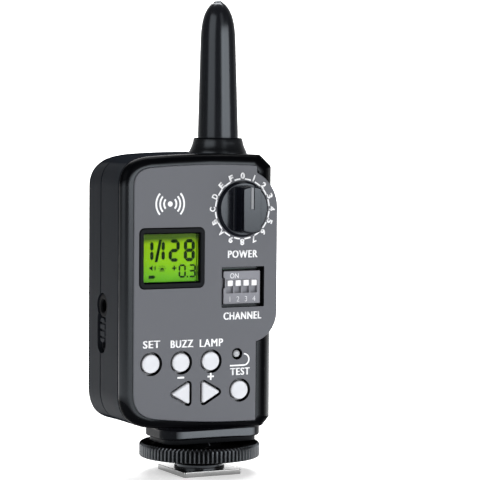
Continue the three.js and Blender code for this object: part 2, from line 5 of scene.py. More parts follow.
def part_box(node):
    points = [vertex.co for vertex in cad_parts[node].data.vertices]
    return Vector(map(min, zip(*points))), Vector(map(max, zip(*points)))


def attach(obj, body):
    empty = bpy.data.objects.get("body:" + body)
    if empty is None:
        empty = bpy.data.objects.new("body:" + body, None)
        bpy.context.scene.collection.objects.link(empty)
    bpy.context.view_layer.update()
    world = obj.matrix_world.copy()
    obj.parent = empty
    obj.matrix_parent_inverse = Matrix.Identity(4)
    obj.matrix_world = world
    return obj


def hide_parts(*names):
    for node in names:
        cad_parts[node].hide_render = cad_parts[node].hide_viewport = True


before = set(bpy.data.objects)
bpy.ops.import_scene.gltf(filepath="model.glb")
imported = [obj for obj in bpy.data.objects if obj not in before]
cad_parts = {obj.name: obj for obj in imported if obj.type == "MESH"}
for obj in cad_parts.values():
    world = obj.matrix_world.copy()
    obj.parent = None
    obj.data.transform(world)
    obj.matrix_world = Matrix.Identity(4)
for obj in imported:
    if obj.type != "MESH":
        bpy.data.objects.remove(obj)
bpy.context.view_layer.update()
scene = bpy.context.scene
scene.view_settings.view_transform = "Standard"

# ---- camera (metres)
YAW, PITCH, ROLL = math.radians(26.706), math.radians(3.559), math.radians(0.451)
forward = Vector((math.sin(YAW) * math.cos(PITCH), math.cos(YAW) * math.cos(PITCH), -math.sin(PITCH)))
right = Vector((math.cos(YAW), -math.sin(YAW), 0))
down = forward.cross(right)
cam_data = bpy.data.cameras.new("camera")
cam_data.lens, cam_data.sensor_width = 172.57, 36.0
cam_data.clip_start, cam_data.clip_end = 0.05, 20.0
cam = bpy.data.objects.new("camera", cam_data)
scene.collection.objects.link(cam)
x_axis = right * math.cos(ROLL) - down * math.sin(ROLL)
y_axis = -(right * math.sin(ROLL) + down * math.cos(ROLL))
rot = Matrix((x_axis, y_axis, -forward)).transposed().to_4x4()
cam.matrix_world = Matrix.Translation((-0.2870, -0.5957, 0.1084)) @ rot
scene.camera = cam

# ---- mesh helpers (millimetres in, metres out)
def box(node):
    lo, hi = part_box(node)
    return [v * 1000 for v in lo], [v * 1000 for v in hi]

def centre(node):
    lo, hi = box(node)
    return [(a + b) / 2 for a, b in zip(lo, hi)]

def mesh_object(name, verts, faces):
    me = bpy.data.meshes.new(name)
    me.from_pydata([(x / 1000, y / 1000, z / 1000) for x, y, z in verts], [], faces)
    me.update()
    ob = bpy.data.objects.new(name, me)
    scene.collection.objects.link(ob)
    return ob

def outward(ob):
    bm = bmesh.new(); bm.from_mesh(ob.data)
    bmesh.ops.remove_doubles(bm, verts=bm.verts, dist=1e-7)
    bmesh.ops.recalc_face_normals(bm, faces=bm.faces)
    bm.to_mesh(ob.data); bm.free()
    return ob

def loft(name, rings, closed=False):
    """Quads between rings of equal length; both ends are capped unless the run of rings is closed."""
    n = len(rings[0])
    verts = [p for r in rings for p in r]
    faces = []
    last = len(rings) if closed else len(rings) - 1
    for k in range(last):
        a, b = k * n, ((k + 1) % len(rings)) * n
        faces += [(a + i, a + (i + 1) % n, b + (i + 1) % n, b + i) for i in range(n)]
    if not closed:
        faces += [tuple(range(n - 1, -1, -1)), tuple(range(len(verts) - n, len(verts)))]
    return outward(mesh_object(name, verts, faces))

def clamp01(v):
    return min(1.0, max(0.0, v))

def bezier(points, n):
    out = []
    for k in range(n):
        t = k / n
        p = list(points)
        while len(p) > 1:
            p = [((1 - t) * a[0] + t * b[0], (1 - t) * a[1] + t * b[1]) for a, b in zip(p, p[1:])]
        out.append(p[0])
    return out

def arc(cx, cy, r, a0, a1, n):
    return [(cx + r * math.cos(a0 + (a1 - a0) * k / n), cy + r * math.sin(a0 + (a1 - a0) * k / n))
        for k in range(n + 1)]

def clean(points):
    out = []
    for p in points:
        if not out or math.dist(p, out[-1]) > 1e-3:
            out.append(p)
    if math.dist(out[0], out[-1]) < 1e-3:
        out.pop()
    return out

def signed_area(points):
    return sum(a[0] * b[1] - b[0] * a[1] for a, b in zip(points, points[1:] + points[:1]))

def inset(points, d):
    """Moves an outline inwards by d with the same point count; segments that turn over collapse."""
    n = len(points)
    if not d:
        return list(points)
    s = d if signed_area(points) > 0 else -d
    pts = [Vector(p) for p in points]
    run = [(pts[(i + 1) % n] - pts[i]).normalized() for i in range(n)]
    nrm = [Vector((-u.y, u.x)) for u in run]
    live = [True] * n
    for _ in range(12):
        out = [None] * n
        for i in range(n):
            if not live[i]:
                continue
            j = (i - 1) % n
            while not live[j]:
                j = (j - 1) % n
            pa, pb = pts[(j + 1) % n] + nrm[j] * s, pts[i] + nrm[i] * s
            cross = run[j].x * run[i].y - run[j].y * run[i].x
            if abs(cross) < 1e-4:
                spot = (pa + pb) / 2
            else:
                w = pb - pa
                spot = pa + run[j] * ((w.x * run[i].y - w.y * run[i].x) / cross)
            k = (j + 1) % n
            while True:
                out[k] = spot
                if k == i:
                    break
                k = (k + 1) % n
        bad = [i for i in range(n) if live[i] and (out[(i + 1) % n] - out[i]).dot(run[i]) < 0]
        if not bad:
            break
        for i in bad:
            live[i] = False
    return [tuple(p) for p in out]

def slab(name, outline, stations, closed=False):
    """An outline in X and Z carried along Y by stations of (inset, y)."""
    return loft(name, [[(x, y, z) for x, z in inset(outline, d)] for d, y in stations], closed)

def tower(name, outline, stations, closed=False):
    return loft(name, [[(x, y, z) for x, y in inset(outline, d)] for d, z in stations], closed)

def side_slab(name, outline, x0, x1):
    return loft(name, [[(x, y, z) for y, z in outline] for x in (x0, x1)])

def lathe(name, profile, centre, axis="z", n=96, closed=False):
    """Profile of (radius, height). A radius of 0 at an end is capped by a small fan."""
    rings = []
    for r, h in profile:
        r = max(r, 0.002)
        ring = []
        for k in range(n):
            a = 2 * math.pi * k / n
            c, s = r * math.cos(a), r * math.sin(a)
            p = {"z": (c, s, h), "y": (c, h, s), "x": (h, c, s)}[axis]
            ring.append((p[0] + centre[0], p[1] + centre[1], p[2] + centre[2]))
        rings.append(ring)
    return loft(name, rings, closed)

def block(name, x0, x1, y0, y1, z0, z1):
    return loft(name, [[(x0, y, z0), (x1, y, z0), (x1, y, z1), (x0, y, z1)] for y in (y0, y1)])

def raised(base, profile):
    """Adds a base height to the last value of every point of a profile."""
    return [(*rest, base + h) for *rest, h in profile]

def panel_hole(x, z, r, y0, y1, n):
    return lathe("t", [(r, y0), (r, y1)], (x, 0, z), "y", n)

def stud_hole(r, z0, z1, n=48):
    return lathe("t", [(r, z0), (r, z1)], (0, 0, 0), "z", n)

def rounded(cx, cy, w, h, r, n=8):
    x0, x1, y0, y1 = cx - w / 2, cx + w / 2, cy - h / 2, cy + h / 2
    q = math.pi / 2
    return clean(arc(x1 - r, y0 + r, r, -q, 0, n) + arc(x1 - r, y1 - r, r, 0, q, n)
        + arc(x0 + r, y1 - r, r, q, 2 * q, n) + arc(x0 + r, y0 + r, r, 2 * q, 3 * q, n))

def rectangle(x0, x1, y0, y1):
    return [(x0, y0), (x1, y0), (x1, y1), (x0, y1)]

def moved(x, z, points):
    return [(x + a, z + b) for a, b in points]

def band(x, z, outer, inner, a0, a1, n):
    return arc(x, z, outer, a0, a1, n) + arc(x, z, inner, a1, a0, n)

def plus_sign(x, z, arm, half):
    side = [(-arm, -half), (-half, -half), (-half, -arm), (half, -arm), (half, -half), (arm, -half)]
    return [(x + a, z + b) for a, b in side] + [(x - a, z - b) for a, b in side]

def triangle(cx, cz, w, h, r, side, n=8):
    corners = [(cx + side * x, cz + z) for x, z in ((w / 2, 0), (-w / 2, h / 2), (-w / 2, -h / 2))]
    out = []
    for i, b in enumerate(corners):
        a, c = corners[i - 1], corners[(i + 1) % 3]
        b = Vector(b)
        p = b + (Vector(a) - b).normalized() * r * 1.5
        q = b + (Vector(c) - b).normalized() * r * 1.5
        out += bezier([tuple(p), tuple(b), tuple(q)], n) + [tuple(q)]
    return clean(out)

def bake(ob):
    dg = bpy.context.evaluated_depsgraph_get()
    me = bpy.data.meshes.new_from_object(ob.evaluated_get(dg))
    old = ob.data
    ob.modifiers.clear()
    ob.data = me
    bpy.data.meshes.remove(old)
    return ob

def boolean(ob, others, operation="DIFFERENCE"):
    for other in others:
        m = ob.modifiers.new("b", "BOOLEAN")
        m.operation, m.solver, m.object = operation, "EXACT", other
        bake(ob)
        me = other.data
        bpy.data.objects.remove(other)
        bpy.data.meshes.remove(me)
    return ob

def soften(ob, width=0.12, segments=2, angle=32):
    """Rounds the hard edges left by cutting."""
    m = ob.modifiers.new("edge", "BEVEL")
    m.width, m.segments, m.limit_method, m.angle_limit = width / 1000, segments, "ANGLE", math.radians(
        angle)
    m.use_clamp_overlap, m.harden_normals = True, False
    return bake(ob)

def finish_piece(ob, mat, body, replaces=(), angle=30):
    ob.data.materials.clear()
    ob.data.materials.append(mat)
    for p in ob.data.polygons:
        p.use_smooth = True
    bm = bmesh.new(); bm.from_mesh(ob.data)
    bmesh.ops.dissolve_limit(bm, angle_limit=math.radians(0.25), verts=bm.verts, edges=bm.edges)
    bm.to_mesh(ob.data); bm.free()
    ob.data.set_sharp_from_angle(angle=math.radians(angle))
    w = ob.modifiers.new("normals", "WEIGHTED_NORMAL")
    w.keep_sharp, w.weight = True, 80
    bake(ob)
    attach(ob, body)
    if replaces:
        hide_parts(*replaces)
    return ob

# ---- materials
def new_material(name):
    m = bpy.data.materials.new(name)
    m.use_nodes = True
    return m, m.node_tree, m.node_tree.nodes["Principled BSDF"]

def add_node(nt, kind, values=(), links=()):
    """A shader node with (socket, value) pairs set and (socket, output) pairs linked."""
    node = nt.nodes.new("ShaderNode" + kind)
    for socket, value in values:
        node.inputs[socket].default_value = value
    for socket, output in links:
        nt.links.new(output, node.inputs[socket])
    return node

def material(name, color, rough, metal=0.0, vary=0.15, rough_vary=0.12, grain=1500, bump=0.05,
        depth=0.00003, cloud=60.0, coat=0.0, specular=0.5, stretch=(1, 1, 1), edge_wear_and_highlight=0.0,
        edge_wear_and_highlight_color=(0.2, 0.2, 0.2), sheen=None, painted_top_shade=None, ior=1.5):
    """sheen is a list of (axis, curve): the specular level is multiplied by a curve of the normal's
    component along the axis. It places the highlights and isn't a real finish. "X" takes its size,
    "+X" only its positive side. painted_top_shade is the share of colour left on faces that look up, as shade."""
    m, nt, b = new_material(name)

    def node(kind, values=(), links=()):
        return add_node(nt, kind, values, links)

    def tinted(base, amount, tint):
        mix = node("Mix")
        mix.data_type = "RGBA"
        nt.links.new(amount, mix.inputs[0])
        nt.links.new(base, mix.inputs[6])
        mix.inputs[7].default_value = tint + (1,)
        return mix.outputs[2]

    b.inputs["Metallic"].default_value = metal
    b.inputs["Coat Weight"].default_value = coat
    b.inputs["Coat Roughness"].default_value = 0.08
    b.inputs["Specular IOR Level"].default_value = specular
    b.inputs["IOR"].default_value = ior
    b.inputs["Specular Tint"].default_value = (1, 1, 1, 1) if metal else (0.84, 0.92, 1.0, 1)
    if sheen:
        split = node("SeparateXYZ", (), [("Vector", node("NewGeometry").outputs["Normal"])])
        total = None
        for axis, curve in sheen:
            value = split.outputs[axis[-1]]
            if len(axis) == 1:
                size = node("Math", (), [(0, value)])
                size.operation = "ABSOLUTE"
                value = size.outputs[0]
            level = node("ValToRGB", (), [("Fac", value)])
            stops = level.color_ramp.elements
            first = specular if total is None else 1.0
            greys = [(where, (first * factor,) * 3 + (1,)) for where, factor in curve]
            stops[0].position, stops[0].color = greys[0]
            stops[1].position, stops[1].color = greys[-1]
            for where, grey in greys[1:-1]:
                stops.new(where).color = grey
            out = level.outputs["Color"]
            if total is not None:
                both = node("Math", (), [(0, total), (1, out)])
                both.operation = "MULTIPLY"
                out = both.outputs[0]
            total = out
        nt.links.new(total, b.inputs["Specular IOR Level"])
    spot = node("Mapping", [("Scale", stretch)], [("Vector", node("TexCoord").outputs["Object"])]).outputs[
        "Vector"]
    clouds = node("TexNoise", [("Scale", cloud), ("Detail", 4)], [("Vector", spot)]).outputs["Fac"]
    grains = node("TexNoise", [("Scale", grain), ("Detail", 3)], [("Vector", spot)]).outputs["Fac"]
    ramp = node("ValToRGB", (), [("Fac", clouds)])
    ends = ramp.color_ramp.elements
    ends[0].position, ends[1].position = 0.3, 0.7
    ends[0].color = tuple(c * (1 - vary) for c in color) + (1,)
    ends[1].color = tuple(min(1, c * (1 + vary)) for c in color) + (1,)
    base = ramp.outputs["Color"]
    # sharp edges are mixed towards a lighter colour: partly wear, partly painted highlight on the rib
    # crests
    if edge_wear_and_highlight:
        amount = node("MapRange", [("From Min", 0.53), ("From Max", 0.62), ("To Max", edge_wear_and_highlight)],
            [("Value", node("NewGeometry").outputs["Pointiness"])])
        base = tinted(base, amount.outputs["Result"], edge_wear_and_highlight_color)
    # painted shade: faces that look up are mixed towards a darker share of the colour
    if painted_top_shade is not None:
        up = node("SeparateXYZ", (), [("Vector", node("NewGeometry").outputs["Normal"])])
        amount = node("MapRange", [("From Min", 0.3), ("From Max", 0.8)], [("Value", up.outputs["Z"])])
        base = tinted(base, amount.outputs["Result"], tuple(c * painted_top_shade for c in color))
    ends = [("To Min", max(0.02, rough - rough_vary)), ("To Max", min(1.0, rough + rough_vary))]
    roughness = node("MapRange", ends, [("Value", clouds)]).outputs["Result"]
    dents = node("Bump", [("Strength", bump), ("Distance", depth)], [("Height", grains)]).outputs["Normal"]
    for socket, output in (("Base Color", base), ("Roughness", roughness), ("Normal", dents)):
        nt.links.new(output, b.inputs[socket])
    return m

NOT_UP = [("Z", [(0.25, 1.0), (0.65, 0.0)])]
RIGHT_ROUND = [(0.0, 0.95), (0.04, 0.50), (0.10, 0.20), (0.20, 0.02), (0.34, 0.03), (0.48, 0.25),
    (0.60, 0.60), (0.75, 1.0)]
M = {
    "panel": material("panel_grey", (0.077, 0.0816, 0.0950), 0.44, 0.2, vary=0.03, rough_vary=0.05,
        grain=2600, bump=0.12, cloud=25),
    "cover": material("cover_black", (0.0016, 0.0017, 0.0022), 0.24, rough_vary=0.05, grain=1800, bump=0.06,
        sheen=[("+X", RIGHT_ROUND), ("Z", [(0.0, 1.0), (0.04, 0.55), (0.12, 0.06), (0.5, 0.03)])]),
    "collar": material("collar_black", (0.0030, 0.0032, 0.0040), 0.24, rough_vary=0.05, grain=1800,
        bump=0.06, sheen=NOT_UP),
    "frame": material("frame_black", (0.0030, 0.0032, 0.0040), 0.42, rough_vary=0.08, grain=1800, bump=0.12,
        specular=0.10, sheen=NOT_UP),
    "pedestal": material("pedestal_black", (0.0040, 0.0042, 0.0056), 0.19, rough_vary=0.05, bump=0.08,
        specular=1.0, sheen=[("Y", [(0.92, 0.04), (0.99, 1.0)])], ior=1.62),
    "shell": material("shell_charcoal", (0.0106, 0.0124, 0.0158), 0.50, vary=0.08, rough_vary=0.06,
        grain=2400, bump=0.30, depth=0.00004, specular=0.06, sheen=[("Z", [(0.3, 1.0), (0.8, 0.0)])]),
    "antenna": material("antenna_black", (0.0028, 0.0030, 0.0048), 0.22, vary=0.2, rough_vary=0.04,
        grain=700),
    "knob": material("knob_black", (0.004, 0.0045, 0.007), 0.17, vary=0.2, rough_vary=0.04, grain=500,
        bump=0.04, specular=0.64, sheen=[("Y", [(0.85, 0.06), (0.99, 1.0)])]),
    # the ring's lighter sharp edges are partly wear, partly painted highlight on the rib crests
    "ring": material("ring_black", (0.0030, 0.0030, 0.0033), 0.16, vary=0.2, rough_vary=0.08, bump=0.1,
        specular=0.75, edge_wear_and_highlight=0.6, edge_wear_and_highlight_color=(0.04, 0.04, 0.041), sheen=[("Z", [(0.2, 1.0), (0.5, 0.0)])]),
    # the foot's upward faces carry painted shade
    "foot": material("foot_plate_nickel", (0.30, 0.30, 0.30), 0.20, 1.0, vary=0.03, rough_vary=0.06,
        grain=900, stretch=(1, 12, 1), painted_top_shade=0.16),
    "steel": material("stud_steel", (0.50, 0.50, 0.51), 0.28, 1.0, vary=0.06, rough_vary=0.08, grain=1200,
        bump=0.08),
    "brass": material("contact_brass", (0.75, 0.55, 0.25), 0.25, 1.0, vary=0.08, grain=1200, bump=0.08),
    "insulator": material("insulator_black", (0.009, 0.009, 0.010), 0.42, bump=0.12),
    "recess": material("recess_black", (0.0110, 0.0118, 0.0140), 0.5, vary=0.1, grain=2400, bump=0.2,
        specular=0.05),
    "jack": material("jack_black", (0.0025, 0.0025, 0.0030), 0.45, bump=0.1, specular=0.04),
    "dip": material("switch_grey", (0.20, 0.20, 0.222), 0.5, vary=0.05, rough_vary=0.06, bump=0.12),
    "slider": material("switch_white", (0.80, 0.80, 0.82), 0.38, vary=0.02, rough_vary=0.05, grain=900),
    "button": material("button_white", (0.60, 0.61, 0.645), 0.30, vary=0.015, rough_vary=0.06, grain=900,
        coat=0.15),
    "ink": material("print_white", (0.85, 0.86, 0.88), 0.5, vary=0.02, rough_vary=0.08, grain=2500,
        bump=0.1),
    "dip_ink": material("print_pale", (0.72, 0.73, 0.76), 0.5, vary=0.03, rough_vary=0.08, grain=2500,
        bump=0.1),
    "pointer": material("pointer_silver", (0.15, 0.155, 0.165), 0.3, 0.6, vary=0.05, grain=900),
    "segment": material("segment_dark", (0.006, 0.020, 0.004), 0.5, vary=0.1, grain=900, bump=0.02,
        specular=0.02),
    "board": material("board_green", (0.02, 0.12, 0.04), 0.35, vary=0.2, grain=700, bump=0.3, coat=0.4),
    "cell": material("cell_skin", (0.05, 0.08, 0.14), 0.25, 0.3, vary=0.1, grain=500, coat=0.4),
    "led": material("led_clear", (0.34, 0.35, 0.37), 0.15, vary=0.05, grain=500, bump=0.03, coat=0.8),
}

def backlight_material():
    m, nt, b = new_material("display_green")
    tc = add_node(nt, "TexCoord").outputs["Object"]
    sep = add_node(nt, "SeparateXYZ", (), [("Vector", tc)])
    lo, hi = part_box("lcd_backlight")
    mr = add_node(nt, "MapRange", [("From Min", lo[2]), ("From Max", hi[2])], [("Value", sep.outputs["Z"])])
    noise = add_node(nt, "TexNoise", [("Scale", 120)], [("Vector", tc)])
    add = nt.nodes.new("ShaderNodeMath")
    add.operation = "MULTIPLY_ADD"
    add.inputs[1].default_value = 0.16
    nt.links.new(noise.outputs["Fac"], add.inputs[0])
    nt.links.new(mr.outputs["Result"], add.inputs[2])
    ramp = add_node(nt, "ValToRGB", (), [("Fac", add.outputs[0])])
    e = ramp.color_ramp.elements
    e[0].position, e[0].color = 0.06, (0.14, 0.50, 0.022, 1)
    # painted shadow: the top band of the display is darkened, in colour and glow, as the frame's shade
    e[1].position, e[1].color = 1.0, (0.06, 0.12, 0.010, 1)
    for where, c in ((0.5, (0.24, 0.52, 0.006, 1)), (0.88, (0.27, 0.50, 0.003, 1))):
        ramp.color_ramp.elements.new(where).color = c
    nt.links.new(ramp.outputs["Color"], b.inputs["Base Color"])
    nt.links.new(ramp.outputs["Color"], b.inputs["Emission Color"])
    b.inputs["Emission Strength"].default_value = 0.08
    b.inputs["Specular IOR Level"].default_value = 0.05
    b.inputs["Roughness"].default_value = 0.4
    return m

def glass_material():
    m, nt, b = new_material("display_glass")
    b.inputs["Transmission Weight"].default_value = 1.0
    b.inputs["IOR"].default_value = 1.15
    b.inputs["Base Color"].default_value = (0.98, 1.0, 0.97, 1)
    tc = add_node(nt, "TexCoord").outputs["Object"]
    noise = add_node(nt, "TexNoise", [("Scale", 90)], [("Vector", tc)])
    mr = add_node(nt, "MapRange", [("To Min", 0.02), ("To Max", 0.08)], [("Value", noise.outputs["Fac"])])
    nt.links.new(mr.outputs["Result"], b.inputs["Roughness"])
    return m

M["backlight"], M["glass"] = backlight_material(), glass_material()

# ---- outlines
(SX0, SY0, _), (SX1, SY1, _) = box("mid_shell")
(_, CY0, _), (_, CY1, _) = box("front_cover")
(_, RY0, RZ0), (_, RY1, _) = box("rear_cover")
(PX0, PY0, _), (_, PY1, _) = box("front_panel")
LEFT, RIGHT, TOP, BOTTOM = SX0, SX1, 91.8, 14.0
WALL = 1.8

def body_outline():
    p = [(LEFT, 25.5), (LEFT, TOP - 8.6)]
    p += bezier([(LEFT, TOP - 8.6), (LEFT, TOP - 3.5), (LEFT + 2.8, TOP - 0.5), (LEFT + 9.4, TOP - 0.15)],
        24)
    p += bezier([(LEFT + 9.4, TOP - 0.15), (-5.0, TOP + 1.1), (RIGHT - 3.9, TOP + 0.2)], 24)
    p += bezier([(RIGHT - 3.9, TOP + 0.2), (RIGHT - 3.5, TOP + 0.1), (RIGHT - 3.2, TOP - 0.2)], 3)
    p += [(RIGHT - 3.2, TOP - 0.2)]
    p += bezier([(RIGHT - 0.3, TOP - 2.9), (RIGHT, TOP - 3.2), (RIGHT, TOP - 3.6)], 3)
    p += [(RIGHT, TOP - 3.6), (RIGHT, BOTTOM + 2.9)]
    p += bezier([(RIGHT, BOTTOM + 2.9), (RIGHT, BOTTOM + 2.6), (RIGHT - 0.3, BOTTOM + 2.3)], 3)
    p += [(RIGHT - 0.3, BOTTOM + 2.3)]
    p += bezier([(RIGHT - 2.1, BOTTOM + 0.3), (RIGHT - 2.4, BOTTOM), (RIGHT - 2.9, BOTTOM)], 3)
    p += bezier([(RIGHT - 2.9, BOTTOM), (-3.0, BOTTOM - 0.4), (LEFT + 9.9, BOTTOM + 1.3)], 24)
    p += bezier([(LEFT + 9.9, BOTTOM + 1.3), (LEFT + 3.9, BOTTOM + 1.9), (LEFT, BOTTOM + 4.5),
        (LEFT, 25.5)], 24)
    return clean(p)

DIAL = centre("dial_knob")[::2]
PANEL_L, PANEL_R, LOBE_R = PX0, 11.4, 11.3

def panel_outline():
    p = [(PANEL_L, 26.0), (PANEL_L, 83.4)]
    p += bezier([(PANEL_L, 83.4), (PANEL_L, 86.7), (PANEL_L + 1.8, 88.35), (PANEL_L + 5.5, 88.6)], 20)
    p += bezier([(PANEL_L + 5.5, 88.6), (-4.0, 89.95), (PANEL_R - 0.5, 88.98)], 24)
    p += bezier([(PANEL_R - 0.5, 88.98), (PANEL_R, 88.95), (PANEL_R, 88.5)], 4)
    a = math.acos((PANEL_R - DIAL[0]) / LOBE_R)
    p += arc(DIAL[0], DIAL[1], LOBE_R, a, 0, 24)
    low = 8.6
    x, z = DIAL[0] + LOBE_R - low, 47.05
    p += arc(x, z, low, 0, -math.acos((PANEL_R - x) / low), 20)
    p += [(PANEL_R, 16.6)]
    p += bezier([(PANEL_R, 16.6), (PANEL_R, 16.1), (PANEL_R - 0.5, 16.1)], 4)
    p += bezier([(PANEL_R - 0.5, 16.1), (-4.0, 15.9), (PANEL_L + 7.0, 18.0)], 24)
    p += bezier([(PANEL_L + 7.0, 18.0), (PANEL_L + 3.0, 18.5), (PANEL_L, 20.5), (PANEL_L, 26.0)], 20)
    return clean(p)

BODY, PANEL = body_outline(), panel_outline()
BUTTONS = {name: centre("button_" + name)[::2] for name in ("set", "buzz", "lamp", "test")}
ARROW_Z, ARROW_W, ARROW_H = 24.95, 5.7, 6.5
ARROWS = {"minus": (-12.6, -1), "plus": (-2.9, 1)}
led_lo, led_hi = box("status_led")
LED = centre("status_led")[::2]
LED_R = (led_hi[0] - led_lo[0]) / 2
(LX0, LY0, LZ0), (LX1, LY1, LZ1) = box("lcd_frame")
(DX0, DY0, DZ0), (DX1, DY1, DZ1) = box("dip_body")
lcx, _, lcz = centre("lcd_frame")
dcx, _, dcz = centre("dip_body")
lw, lh = LX1 - LX0, LZ1 - LZ0
DIAL_HOLE_R, BUTTON_HOLE_R, LED_GAP, ARROW_GAP = 3.4, 3.34, 0.6, 0.66

def dip_hole(grow, shift):
    return rounded(dcx - shift, dcz, DX1 - DX0 + grow, DZ1 - DZ0 + grow, 0.25, 4)

def openings(y0, y1, behind=False):
    run = [(0, y0), (0, y1)]
    tools = [slab("t", rounded(lcx, lcz, lw + 0.24, lh + 0.24, 1.6), run),
        slab("t", dip_hole(0.3, 0) if behind else dip_hole(1.8, 0.15), run),
        panel_hole(DIAL[0], DIAL[1], DIAL_HOLE_R, y0, y1, 48), panel_hole(LED[0] + 0.06, LED[1] - 0.06,
        LED_R + LED_GAP, y0, y1, 40),]
    for x, z in BUTTONS.values():
        tools.append(panel_hole(x + 0.14, z - 0.08, BUTTON_HOLE_R, y0, y1, 64))
    for x, side in ARROWS.values():
        arrow = triangle(x + 0.1, ARROW_Z - 0.1, ARROW_W, ARROW_H, 0.7, side)
        tools.append(slab("t", inset(arrow, -ARROW_GAP), run))
    return tools

# ---- front panel and cover
panel = slab("front_panel_fine", PANEL, [(0.45, PY0), (0.14, PY0 + 0.06), (0, PY0 + 0.28), (0, PY1)])
boolean(panel, openings(PY0 - 2, PY1 + 2))
soften(panel, 0.10)
finish_piece(panel, M["panel"], "housing", ["front_panel"])
panel.data.materials.append(M["frame"])
for face in panel.data.polygons:  # the walls of the openings take the black frame material as painted shade in the gaps
    x, _, z = (c * 1000 for c in face.center)
    in_switch = DZ0 - 2 < z < DZ1 + 2 and x > 0
    inside = 18.5 < z < 87.5 and x < DX1 + 1.5 and (PANEL_L + 2 < x < PANEL_R - 1.2 or in_switch)
    if inside and abs(face.normal.y) < 0.4:
        face.material_index = 1

floor = PY1 + 0.22
QUARTER = [math.pi / 2 * k / 10 for k in range(11)]
RIM_IN, RIM_OUT, RIM_Y, COVER_Y = 2.6, 2.25, -10.95, 13.2
arcs = [(RIM_IN * (1 - math.cos(a)), RIM_Y - RIM_OUT * math.sin(a)) for a in QUARTER]
cover = slab("front_cover_fine", BODY, [(1.2, CY1), (0.28, CY1 - 0.03), (0.06, CY1 - 0.12), (0, CY1 - 0.3)]
    + arcs)
R_RIGHT, X_RIGHT = 6.0, 12.2
for v in cover.data.vertices:  # the right edge is one large round that starts at the panel
    x, y = v.co.x * 1000, v.co.y * 1000
    drawn = RIM_IN * (1 - math.cos(math.asin(clamp01((RIM_Y - y) / RIM_OUT))))
    wanted = RIGHT - X_RIGHT - R_RIGHT * math.sin(math.acos(1 - (y + COVER_Y) / R_RIGHT))
    v.co.x -= (wanted - drawn) * clamp01((x - 7.0) / 5.0) / 1000
lobe = slab("t", inset(PANEL, 0.35), [(0.2, floor + 0.1), (0, floor + 0.3), (0, CY1 - 0.3),
    (0.2, CY1 - 0.1)])
boolean(cover, [lobe], "UNION")
boolean(cover, [slab("t", inset(PANEL, -0.14), [(0, CY0 - 3), (0, floor)])])
boolean(cover, openings(CY0 - 2, CY1 + 2, True))
boolean(cover, [slab("t", dip_hole(1.8, 0.15), [(0, CY0 - 2), (0, CY1 - 0.45)])])
soften(cover, 0.10)
finish_piece(cover, M["cover"], "housing", ["front_cover"])

# ---- housing shells
jack_lo, jack_hi = box("sync_jack")
plate_lo, plate_hi = box("side_plate")
_, JY, JZ = centre("sync_jack")
SY, SIDE_W, SIDE_Z0, SIDE_Z1 = centre("side_plate")[1], 5.8, 35.6, 48.0
SZC = (SIDE_Z0 + SIDE_Z1) / 2

def side_tools():
    x0, x1 = LEFT - 1, LEFT + WALL + 0.4
    return [side_slab("t", rounded(SY, SZC, SIDE_W, SIDE_Z1 - SIDE_Z0, SIDE_W / 2 - 0.01, 12), x0, x1),
        lathe("t", [(3.6, x0), (3.6, x1)], (0, JY, JZ), "x", 64),]

ant_lo, ant_hi = box("antenna_sleeve")
AX, AY, _ = centre("antenna_sleeve")
mid = slab("mid_shell_fine", BODY, [(1.2, SY0), (0.28, SY0 + 0.03), (0.06, SY0 + 0.12), (0, SY0 + 0.3),
    (0, SY1 - 0.2), (0.06, SY1 - 0.06), (0.22, SY1), (0.95, SY1), (0.95, SY1 + 0.8), (WALL, SY1 + 0.8),
    (WALL, CY1 + 0.03), (1.2, CY1 + 0.03)], closed=True)
for v in mid.data.vertices:  # draft on the right, out to the cover's edge
    x, y = v.co.x * 1000, v.co.y * 1000
    v.co.x += 0.75 * max(0.0, (SY1 - y) / (SY1 - SY0)) * clamp01((x - 7.0) / 5.0) / 1000
boolean(mid, side_tools() + [lathe("t", [(2.2, 86), (2.2, 96)], (AX, AY, 0), "z", 32),
    stud_hole(6.5, 10, 18)])
soften(mid, 0.10)
finish_piece(mid, M["shell"], "housing", ["mid_shell"])

SCREWS = [centre("case_screw_%d" % i)[::2] for i in range(1, 5)]
R_BACK = 0.9
back_arc = [(R_BACK * (1 - math.cos(a)), RY1 - R_BACK + R_BACK * math.sin(a)) for a in QUARTER]
door_lo, door_hi = box("battery_door")
rear = slab("rear_cover_fine", BODY, [(WALL, RY1 - WALL), (WALL, RY0 + 0.9), (0.85, RY0 + 0.9), (0.85, RY0),
    (0.22, RY0), (0.06, RY0 + 0.06), (0, RY0 + 0.2)] + back_arc)
tools = [block("t", door_lo[0] - 0.3, door_hi[0] + 0.3, RY1 - WALL - 0.4, RY1 + 1, RZ0 - 3, door_hi[2]
    + 0.3)]
tools += side_tools() + [stud_hole(6.5, 10, 18)]
tools += [lathe("t", [(1.2, RY0 - 1), (1.2, RY1 - 1.7), (2.0, RY1 - 1.7), (2.0, RY1 + 1)], (x, 0, z), "y",
    40) for x, z in SCREWS]
boolean(rear, tools)
for v in rear.data.vertices:  # the left corners fall away a little towards the back
    x, y, z = (c * 1000 for c in v.co)
    depth = max(0.0, (y - RY0) / (RY1 - RY0))
    side = clamp01((-19.0 - x) / 9.0)
    v.co.z -= depth * side * (0.8 * clamp01((z - 78) / 9.0) + 0.4 * clamp01((28 - z) / 9.0)) / 1000
soften(rear, 0.12)
finish_piece(rear, M["shell"], "housing", ["rear_cover"])

